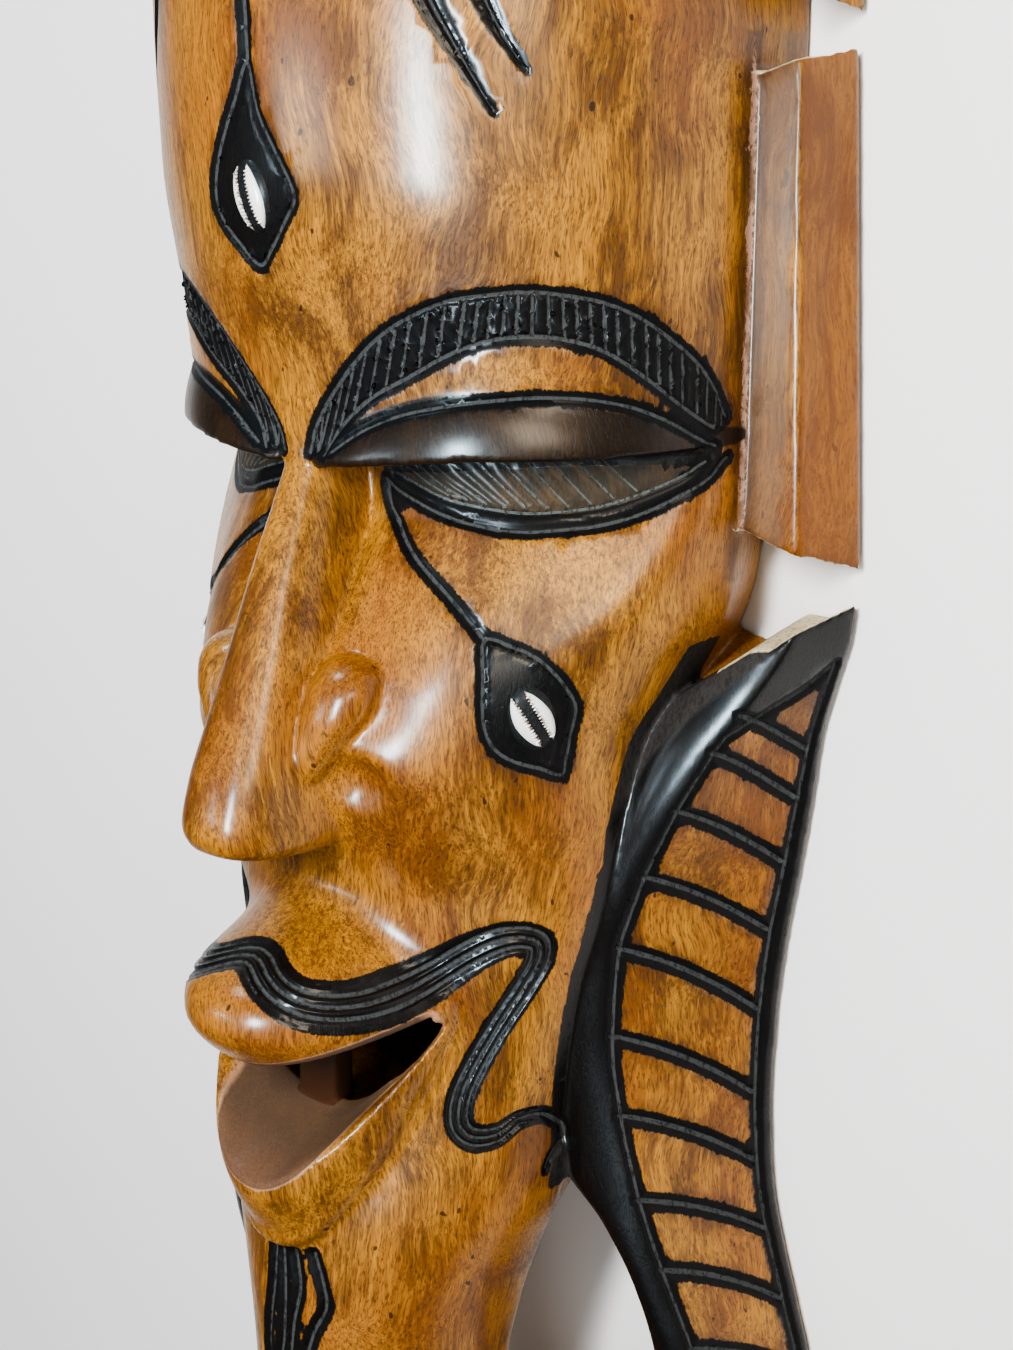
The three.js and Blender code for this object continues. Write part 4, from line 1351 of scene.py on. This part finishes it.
# %% Colours of the wood and of what lies on it
GOLD = (0.47, 0.226, 0.040)
UMBER = (0.132, 0.055, 0.012)
RUSSET = (0.34, 0.105, 0.018)
DEEP_BROWN = (0.045, 0.017, 0.005)
SPECK = (0.018, 0.008, 0.004)
# painted light on the side panel: a deeper brown as painted shade on its outer face, a grey as painted
# shade and sheen on its inner face
PANEL_SHADE_BROWN = (0.20, 0.060, 0.008)
PANEL_SHADE_AND_SHEEN_GREY = (0.155, 0.105, 0.072)
STAIN = (0.0030, 0.0034, 0.0042)
LID_BLACK = (0.0065, 0.0045, 0.0035)
DUST = (0.078, 0.084, 0.086)
CHAMFER_GREY = (0.046, 0.042, 0.039)
OLIVE = (0.034, 0.037, 0.032)
OLIVE_HATCH = (0.12, 0.14, 0.135)
PALE_WOOD = (0.62, 0.53, 0.37)
PALE_STREAK = (0.30, 0.27, 0.19)
RAW_WOOD = (0.135, 0.088, 0.050)
RAW_DARK = (0.055, 0.034, 0.019)
# painted shade in the scoop inside the lips, lifting to a tan towards their front
SCOOP_SHADE = (0.020, 0.017, 0.010)
SCOOP_FRONT_TAN = (0.095, 0.047, 0.027)
TOOTH_BROWN = (0.070, 0.027, 0.009)
# pale worn wood; on the lips' rim it is also a painted highlight
WORN_EDGE_AND_SHEEN = (0.48, 0.30, 0.215)


def layered(shade, colour, layers):
    """A colour with others laid over it in turn, each with its share."""
    for share, over in layers:
        colour = shade.mix(share, colour, over)
    return colour


# %% The figure of the wood
def wood_figure(shade):
    """Colour and pores of the bare wood, and the swirled place where they are drawn."""
    swirl = shade.new("ShaderNodeTexNoise", {
        "Vector": shade.place, "Scale": 13.0, "Detail": 2.0}).outputs["Color"]
    place = shade.vector("ADD", shade.place, shade.vector("SCALE", swirl, scale=0.035))
    cloud = shade.grain((0.026, 0.055, 0.026), 2, 0.5, 0.8, place)
    ribbon = shade.grain((0.0018, 0.040, 0.0018), 3, 0.65, 0.5, place)
    curl = shade.grain((0.0009, 0.0120, 0.0009), 2, 0.55, 0.5, place)
    pores = shade.grain((0.0006, 0.0042, 0.0006), 2, 0.6, 0.3, place)
    warm = shade.grain((0.05, 0.10, 0.05), 2, 0.5)
    knots = shade.grain((0.0045, 0.0070, 0.0045), 1, 0.4)
    tone = shade.maths("MULTIPLY_ADD", ribbon, 0.45, shade.maths("MULTIPLY", cloud, 0.55))
    colour = layered(shade, shade.mix(shade.between(tone, 0.37, 0.61), UMBER, GOLD), [
        (shade.between(warm, 0.42, 0.66, 0.0, 0.42), RUSSET),
        (shade.between(curl, 0.40, 0.66, 0.0, 0.42), UMBER),
        (shade.between(pores, 0.50, 0.64, 0.0, 0.55), DEEP_BROWN),
        (shade.between(knots, 0.765, 0.79, 0.0, 0.8), SPECK)])
    return colour, pores, place


# %% Where each finish lies
def ragged_edges(shade, fine, blots):
    """A test for lying inside a kept distance, with the ragged rim of a stain."""
    ragged = shade.maths("ADD", shade.between(fine, 0.3, 0.7, -0.32, 0.32),
                         shade.between(blots, 0.58, 0.75, 0.0, -0.9))

    def inside(name, edge, soft=0.3, reach=1.0):
        rough = shade.maths("MULTIPLY_ADD", ragged, reach, shade.number(name))
        low, high = (shade.maths("ADD", edge, d) for d in (-soft, soft))
        return shade.between(rough, low, high, 1.0, 0.0)

    return inside


def stain_and_dust(shade, inside, worn, depth):
    """Shares of the black stain, of the dust in it, of the cut lines and of the lower lid."""
    eye = inside("lower_lid", -5.0, 0.3, 0.4)
    lines = inside("line_gap", shade.maths("MULTIPLY_ADD", eye, -1.9, 1.05))
    round_eye = shade.all_of(inside("lower_lid", 0.2), shade.maths("SUBTRACT", 1.0, eye))
    stained = inside("stained", 0.0, 0.3, 0.7)
    in_front = shade.all_of(shade.between(shade.number("dug"), 0.8, 1.6),
                            shade.between(depth, 0.0010, 0.0016))
    black = shade.most_of(lines, inside("band_gap", 1.1, 0.3, 0.8), inside("bed", 0.3), stained,
                          round_eye)
    groove = shade.most_of(shade.between(shade.number("line_groove"), 0.56, 0.76),
                           shade.between(shade.number("band_groove"), 0.62, 0.84))
    dust = shade.all_of(groove, shade.between(worn, 0.36, 0.52, 0.25, 1.0), in_front)
    chamfer = shade.all_of(shade.between(shade.number("chamfer"), -0.05, 0.04), stained)
    return shade.all_of(black, in_front), dust, lines, eye, chamfer


# %% Wood material
def wood_material(name):
    shade = Shade(name)
    colour, pores, place = wood_figure(shade)
    fine = shade.grain((0.0009, 0.0022, 0.0009), 3, 0.7, 0.0, place)
    blots = shade.grain((0.006, 0.012, 0.006), 2, 0.6)
    worn = shade.grain((0.0014, 0.0040, 0.0014), 3, 0.7)
    depth = shade.new("ShaderNodeSeparateXYZ", {0: shade.place}).outputs["Z"]
    inside = ragged_edges(shade, fine, blots)
    black, dust, lines, eye, chamfer = stain_and_dust(shade, inside, worn, depth)

    smoke = shade.all_of(shade.between(shade.number("line_gap"), 1.0, 5.5, 0.55, 0.0),
                         shade.between(blots, 0.35, 0.65))
    pale = shade.between(shade.number("sawn"), 0.35, 0.9, 1.0, 0.0)
    raw = shade.most_of(shade.skin("dug", 0.5, 1.2), shade.between(depth, 0.0008, 0.0016, 1.0, 0.0))
    scoop = shade.all_of(shade.skin("mouth", 1.6, 2.2), shade.between(depth, 0.112, 0.120))
    throat = shade.between(shade.number("mouth"), -1.6, -0.8, 1.0, 0.0)
    lip_edge = shade.all_of(inside("mouth", 2.4, 0.3, 0.8), shade.between(depth, 0.100, 0.110))
    seam = shade.all_of(inside("seam", 1.1, 0.5, 2.0), shade.between(blots, 0.35, 0.55, 0.3, 1.0))
    scoop_front = shade.all_of(shade.between(depth, 0.134, 0.154), shade.between(fine, 0.36, 0.60, 0.3, 1.0))

    colour = layered(shade, colour, [
        # The panel's two faces are coloured apart for the light: the inner face greyer, as painted shade
        # and sheen, the outer face a deeper brown, as painted shade.
        (shade.all_of(shade.number("inner_facet"), 0.6), PANEL_SHADE_AND_SHEEN_GREY),
        (shade.all_of(shade.number("outer_facet"), 0.6), PANEL_SHADE_BROWN),
        (shade.all_of(inside("seam", 5.0, 2.5, 1.5), 0.6), DEEP_BROWN),
        (shade.all_of(seam, 0.75), WORN_EDGE_AND_SHEEN),
        (smoke, DEEP_BROWN),
        # A pale line along the lips' rim: partly wear, partly a painted highlight.
        (shade.all_of(lip_edge, 0.6), WORN_EDGE_AND_SHEEN),
        # Painted shade inside the lips' scoop, lighter towards their front.
        (shade.all_of(scoop, 0.74), shade.mix(scoop_front, SCOOP_SHADE, SCOOP_FRONT_TAN)),
        (shade.all_of(raw, 0.85), shade.mix(shade.between(blots, 0.3, 0.7), RAW_WOOD, RAW_DARK)),
        # Painted shade deep inside the mouth's cut.
        (shade.all_of(throat, 0.75), DEEP_BROWN),
        (shade.between(shade.number("tooth"), 0.4, 0.9, 1.0, 0.0), TOOTH_BROWN),
        (shade.all_of(eye, 0.85), OLIVE),
        (shade.all_of(shade.skin("upper_lid", 0.6, 1.2), 0.93), LID_BLACK),
        (shade.all_of(black, 0.985), STAIN),
        (shade.all_of(chamfer, shade.between(worn, 0.3, 0.6, 0.45, 0.95)), CHAMFER_GREY),
        (shade.all_of(dust, 0.9), shade.mix(eye, DUST, OLIVE_HATCH)),
        (pale, shade.mix(shade.between(worn, 0.45, 0.7), PALE_WOOD, PALE_STREAK))])
    dull = shade.most_of(shade.all_of(lines, 0.62), dust, raw, pale, shade.all_of(scoop, 0.8), throat,
                         shade.all_of(chamfer, 0.7), shade.all_of(eye, 0.7))
    ground = shade.bump(shade.between(pores, 0.50, 0.62, 0.0, -1.0), 0.00015, 0.5)
    waves = shade.grain((0.005, 0.016, 0.005), 2, 0.5, 0.0, place)
    ground = shade.bump(waves, 0.0006, 0.3, Normal=ground)
    return shade.finish(
        Base_Color=colour, Roughness=shade.between(dull, 0.0, 1.0, 0.48, 0.85), Normal=ground,
        Specular_IOR_Level=0.25, IOR=1.5, Coat_Weight=shade.between(dull, 0.0, 1.0, 0.55, 0.0),
        Coat_Roughness=0.24)


wood_finish = wood_material(WOOD_FINISH)
print("wood nodes", len(wood_finish.node_tree.nodes))

# %% [markdown]
# ## Cowrie shells
#
# Each shell is bedded with its mouth outward and smeared with black putty, so that only the two
# toothed lips of its mouth stay white. The putty is a low rough dome, the lips are two crescents
# lying on it, and the teeth are a row of small bars along each lip, put there by Geometry Nodes.

# %% A shell in its own place: across, along and out, in millimetres
SHELL_HALF = (8.3, 11.8, 4.2)
SLIT_HALF = 2.2
LIP_WIDE = 4.1
LIP_HALF_LONG = 10.0
LIP_RISE = 0.75
LIP_UNDER = 0.9      # how far a lip reaches down into the putty


def dome_over(x, y):
    """Height of the putty over a place across and along the shell."""
    across, along = x / SHELL_HALF[0], y / SHELL_HALF[1]
    return SHELL_HALF[2] * np.sqrt(np.clip(1 - across**2 - along**2, 0.02, 1))


def ball(half):
    rise = np.linspace(-0.499 * math.pi, 0.499 * math.pi, 24)
    turn = np.linspace(0, 2 * math.pi, 48, endpoint=False)
    ring = np.stack([np.cos(turn), np.sin(turn), 0 * turn], 1)
    return closed_loft(np.stack([ring * math.cos(r) + (0, 0, math.sin(r)) for r in rise]) * half)


def lip_of_shell(hand):
    """A crescent along one side of the slit, plump across and pointed at both ends."""
    rings = []
    share = np.linspace(0, 1, 11)
    for y in np.linspace(-LIP_HALF_LONG, LIP_HALF_LONG, 41):
        wide = LIP_WIDE * max(0.04, 1 - (y / LIP_HALF_LONG) ** 2) ** 0.75
        top = SLIT_HALF + share * wide
        rise = LIP_RISE * np.sin(math.pi * (0.12 + 0.88 * share)) ** 0.6 * min(1.0, wide / 2)
        upper = np.stack([hand * top, np.full(len(top), y), dome_over(top, y) + rise], 1)
        lower = [[hand * x, y, dome_over(x, y) - LIP_UNDER] for x in (top[-1], top[0])]
        rings.append(np.vstack([upper, lower]))
    return closed_loft(rings)


# %% A row of teeth, as Geometry Nodes
TEETH = 15
TOOTH_HALF = (1.0, 0.40, 0.5)
EDGE_POINTS = 30


def teeth_tree():
    nodes, given = geometry_tree("row_of_teeth", {
        "Edge": "Geometry", "Tooth": "Object", "Count": "Int", "Finish": "Material"}, "Teeth")
    curve = nodes.out("GeometryNodeMeshToCurve", {"Mesh": given["Edge"]})
    along = {"Curve": curve, "Count": given["Count"]}
    places = nodes.new("GeometryNodeCurveToPoints", along, mode="COUNT")
    tooth = nodes.new("GeometryNodeObjectInfo", {"Object": given["Tooth"]}).outputs["Geometry"]
    turn = nodes.out("FunctionNodeAlignRotationToVector", {"Vector": places.outputs["Tangent"]}, axis="Y")
    row = nodes.out("GeometryNodeInstanceOnPoints", {
        "Points": places.outputs["Points"], "Instance": tooth, "Rotation": turn})
    return ended(nodes, row, given["Finish"])


def teeth_of_shell(tree, tooth, hand):
    """Points and triangles of the teeth along one lip."""
    along = np.linspace(-0.8, 0.8, EDGE_POINTS) * LIP_HALF_LONG
    across = np.full(EDGE_POINTS, SLIT_HALF + 0.35)
    path = np.stack([hand * across, along, dome_over(across, along) + 0.45], 1)
    edge = mesh_object("lip_edge", path)
    first = np.arange(EDGE_POINTS - 1)
    edge.data.edges.add(len(first))
    edge.data.edges.foreach_set("vertices", np.stack([first, first + 1], 1).ravel())
    edge.data.update()
    add_nodes(edge, tree, Tooth=tooth, Count=TEETH, Finish=shell_finish)
    row = baked(edge, "teeth")
    row.data.calc_loop_triangles()
    triangles = np.array([list(t.vertices) for t in row.data.loop_triangles])
    points = points_of(row.data)
    bpy.data.objects.remove(row)
    return points, triangles


# %% Shell and putty materials
SHELL_WHITE = (0.82, 0.84, 0.82)
SHELL_CREAM = (0.60, 0.55, 0.45)
SLIT_BROWN = (0.16, 0.07, 0.03)
PUTTY_GREY = (0.05, 0.043, 0.04)


def putty_material(name):
    shade = Shade(name)
    lumps = shade.grain((0.0009, 0.0009, 0.0009), 4, 0.7)
    colour = shade.mix(shade.between(lumps, 0.5, 0.8), STAIN, PUTTY_GREY)
    return shade.finish(Base_Color=colour, Roughness=0.55, Normal=shade.bump(lumps, 0.0006, 0.8),
                        Coat_Weight=0.25, Coat_Roughness=0.3)


def shell_material(name):
    shade = Shade(name)
    marks = shade.grain((0.0012, 0.0012, 0.0012), 3, 0.6)
    rim = shade.between(shade.number("from_slit"), 0.1, 1.0, 1.0, 0.0)
    colour = layered(shade, SHELL_WHITE, [
        (shade.between(marks, 0.45, 0.8, 0.0, 0.25), SHELL_CREAM),
        (shade.all_of(rim, shade.between(marks, 0.40, 0.58, 0.0, 0.9)), SLIT_BROWN)])
    return shade.finish(Base_Color=colour, Roughness=0.35, Coat_Weight=0.3, Coat_Roughness=0.15)


putty_finish = putty_material("black_putty")
shell_finish = shell_material("white_shell")

# %% The three shells
SHELL_SINK = 1.6
SHELLS = {  # across, height, tilt of the putty, side of the face, tilt of the lips in the putty
    "cowrie_forehead": (-2.5, 82.0, 0.04, 1, 0.14),
    "cowrie_right_cheek": (78.0, -81.0, 0.33, 1, 0.34),
    "cowrie_left_cheek": (78.0, -81.0, 0.33, -1, 0.34),
}


def shell_frame(across, height, tilt, side):
    """Where a shell lies: its middle on the skin and its three directions as rows."""
    normals = []
    for dx, dy in ((0, 0), (6, 0), (-6, 0), (0, 8), (0, -8)):
        start = Vector(to_frame([side * across + dx, height + dy, ABOVE]))
        _, spot, normal, _ = mask.ray_cast(start, DOWN)
        normals.append(np.array(normal))
        if (dx, dy) == (0, 0):
            middle = to_drawing(np.array(spot))
    out = np.mean(normals, 0)
    out /= np.linalg.norm(out)
    right = np.cross([-side * math.sin(tilt), math.cos(tilt), 0], out)
    right /= np.linalg.norm(right)
    return middle - SHELL_SINK * out, np.stack([right, np.cross(out, right), out])


def cowrie(name, teeth_rows):
    """The putty's ball, the two lips and their teeth as one mesh with two finishes."""
    *place, lean = SHELLS[name]
    middle, axes = shell_frame(*place)
    spin = np.array(Matrix.Rotation(place[-1] * lean, 3, "Z"))
    white = [lip_of_shell(-1), lip_of_shell(1), *teeth_rows]
    parts = [ball(SHELL_HALF)] + [(points @ spin.T, triangles) for points, triangles in white]
    local = np.vstack([points for points, _ in parts])
    starts = np.cumsum([0] + [len(points) for points, _ in parts])
    faces = np.vstack([triangles + start for (_, triangles), start in zip(parts, starts)])
    made = mesh_object(name + "_shell", to_frame(middle + local @ axes), faces)
    note(made.data, "from_slit", np.abs((local @ spin)[:, 0]) - SLIT_HALF)
    for material in (putty_finish, shell_finish):
        made.data.materials.append(material)
    in_putty = np.arange(len(faces)) < len(parts[0][1])
    made.data.polygons.foreach_set("material_index", np.where(in_putty, 0, 1))
    made.data.shade_smooth()
    return made


one_tooth = mesh_object("tooth", *ball(TOOTH_HALF))
row_tree = teeth_tree()
rows = [teeth_of_shell(row_tree, one_tooth, hand) for hand in (-1, 1)]
shells = {name: cowrie(name, rows) for name in SHELLS}
bpy.data.objects.remove(one_tooth)
print("shells of", [len(shell.data.polygons) for shell in shells.values()], "triangles")

# %% [markdown]
# ## The table, the light and the camera
#
# The mask lies on its sawn back. The photograph looks down on it from in front and to the side,
# from well under a metre away. Four soft lights give the wood its colour and its shadows. The
# windows and the lamp that mirror in the varnish are lights of their own, which nothing but the
# varnish shows, so that each streak can be laid where the photograph has it.

# %% Table
TABLE_HALF = 6.0
TABLE_GREY = (0.86, 0.86, 0.86)


def table():
    corners = np.array([(-1, -1, 0), (1, -1, 0), (1, 1, 0), (-1, 1, 0)]) * TABLE_HALF
    made = mesh_object("table", corners, np.array([[0, 1, 2, 3]]))
    made.data.materials.append(Shade("pale_table").finish(Base_Color=TABLE_GREY, Roughness=0.9))


table()

# %% Lights
WHITE = (1, 1, 1)
DAYLIGHT = (0.72, 0.89, 1.0)
LAMPLIGHT = (1.0, 0.86, 0.68)
SOFT_LIGHTS = {  # turn and rise in degrees, metres away, width, height, watts, tint
    "front": (13, 23, 1.5, 0.24, 0.70, 29, WHITE),
    "side": (62, 6, 1.6, 0.40, 0.80, 4, LAMPLIGHT),
    "above": (-34, 27, 1.7, 0.26, 0.80, 3.5, WHITE),
    "below": (34, -38, 2.2, 1.20, 1.20, 11, WHITE),
}
GLEAMS = {  # the same, for the lights that only the varnish shows
    "window": (17, 1, 1.5, 0.34, 0.18, 28, DAYLIGHT),
    "far_window": (-23, 2, 1.7, 0.12, 0.60, 5, DAYLIGHT),
    "top_window": (-42, 58, 1.6, 0.35, 0.35, 9, DAYLIGHT),
    "lamp": (47, 16, 1.6, 0.50, 0.45, 9, LAMPLIGHT),
}
WORLD_STRENGTH = 0.11


def direction(turn, rise):
    """A unit vector from the mask: turned in degrees about its length, and risen along it."""
    turn, rise = math.radians(turn), math.radians(rise)
    return Vector((math.sin(turn) * math.cos(rise), math.sin(rise), math.cos(turn) * math.cos(rise)))


def area_light(name, turn, rise, away, wide, tall, power, tint, gleam):
    """A rectangular light in a direction from the mask, facing it."""
    data = bpy.data.lights.new(name, "AREA")
    data.shape = "RECTANGLE"
    data.size = wide
    data.size_y = tall
    data.energy = power
    data.color = tint
    made = bpy.data.objects.new(name, data)
    towards = direction(turn, rise)
    made.location = towards * away
    made.rotation_euler = towards.to_track_quat("Z", "Y").to_euler()
    made.visible_glossy = gleam
    made.visible_diffuse = not gleam
    bpy.context.scene.collection.objects.link(made)


def world_light(strength):
    world = bpy.data.worlds.new("studio")
    world.use_nodes = True
    background = world.node_tree.nodes["Background"]
    background.inputs["Color"].default_value = (1, 1, 1, 1)
    background.inputs["Strength"].default_value = strength
    bpy.context.scene.world = world


for lights, gleam in ((SOFT_LIGHTS, False), (GLEAMS, True)):
    for name, row in lights.items():
        area_light(name, *row, gleam)
world_light(WORLD_STRENGTH)
print("soft lights", len(SOFT_LIGHTS), "and gleams", len(GLEAMS))
bpy.context.scene.view_settings.look = "AgX - High Contrast"

# %% Camera
CAMERA_TURN = 41
CAMERA_RISE = 15.5
CAMERA_AT = Vector((0.477, 0.160, 0.566))
PHOTO_TALL = 1350        # pixels
FOCAL_PIXELS = 2000
SENSOR = 36.0


def camera():
    data = bpy.data.cameras.new("camera")
    data.sensor_fit = "VERTICAL"
    data.sensor_height = SENSOR
    data.lens = FOCAL_PIXELS / PHOTO_TALL * SENSOR
    made = bpy.data.objects.new("camera", data)
    made.location = CAMERA_AT
    back = direction(CAMERA_TURN, CAMERA_RISE)
    turn = math.radians(CAMERA_TURN)
    right = Vector((math.cos(turn), 0, -math.sin(turn)))
    made.rotation_euler = Matrix((right, back.cross(right), back)).transposed().to_euler()
    bpy.context.scene.collection.objects.link(made)
    bpy.context.scene.camera = made
    return data


print("lens of", round(camera().lens, 1), "millimetres")

# %% [markdown]
# ## Handing over
#
# The carved mesh rides on the one body there is and takes the place of the imported wood.

# %% Ride, replace and finish
for thing in (line_points, band_points):
    bpy.data.objects.remove(thing)
mask.data.materials.clear()
mask.data.materials.append(wood_finish)
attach(mask, "root")
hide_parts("mask")
for name, shell in shells.items():
    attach(shell, "root")
    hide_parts(name)
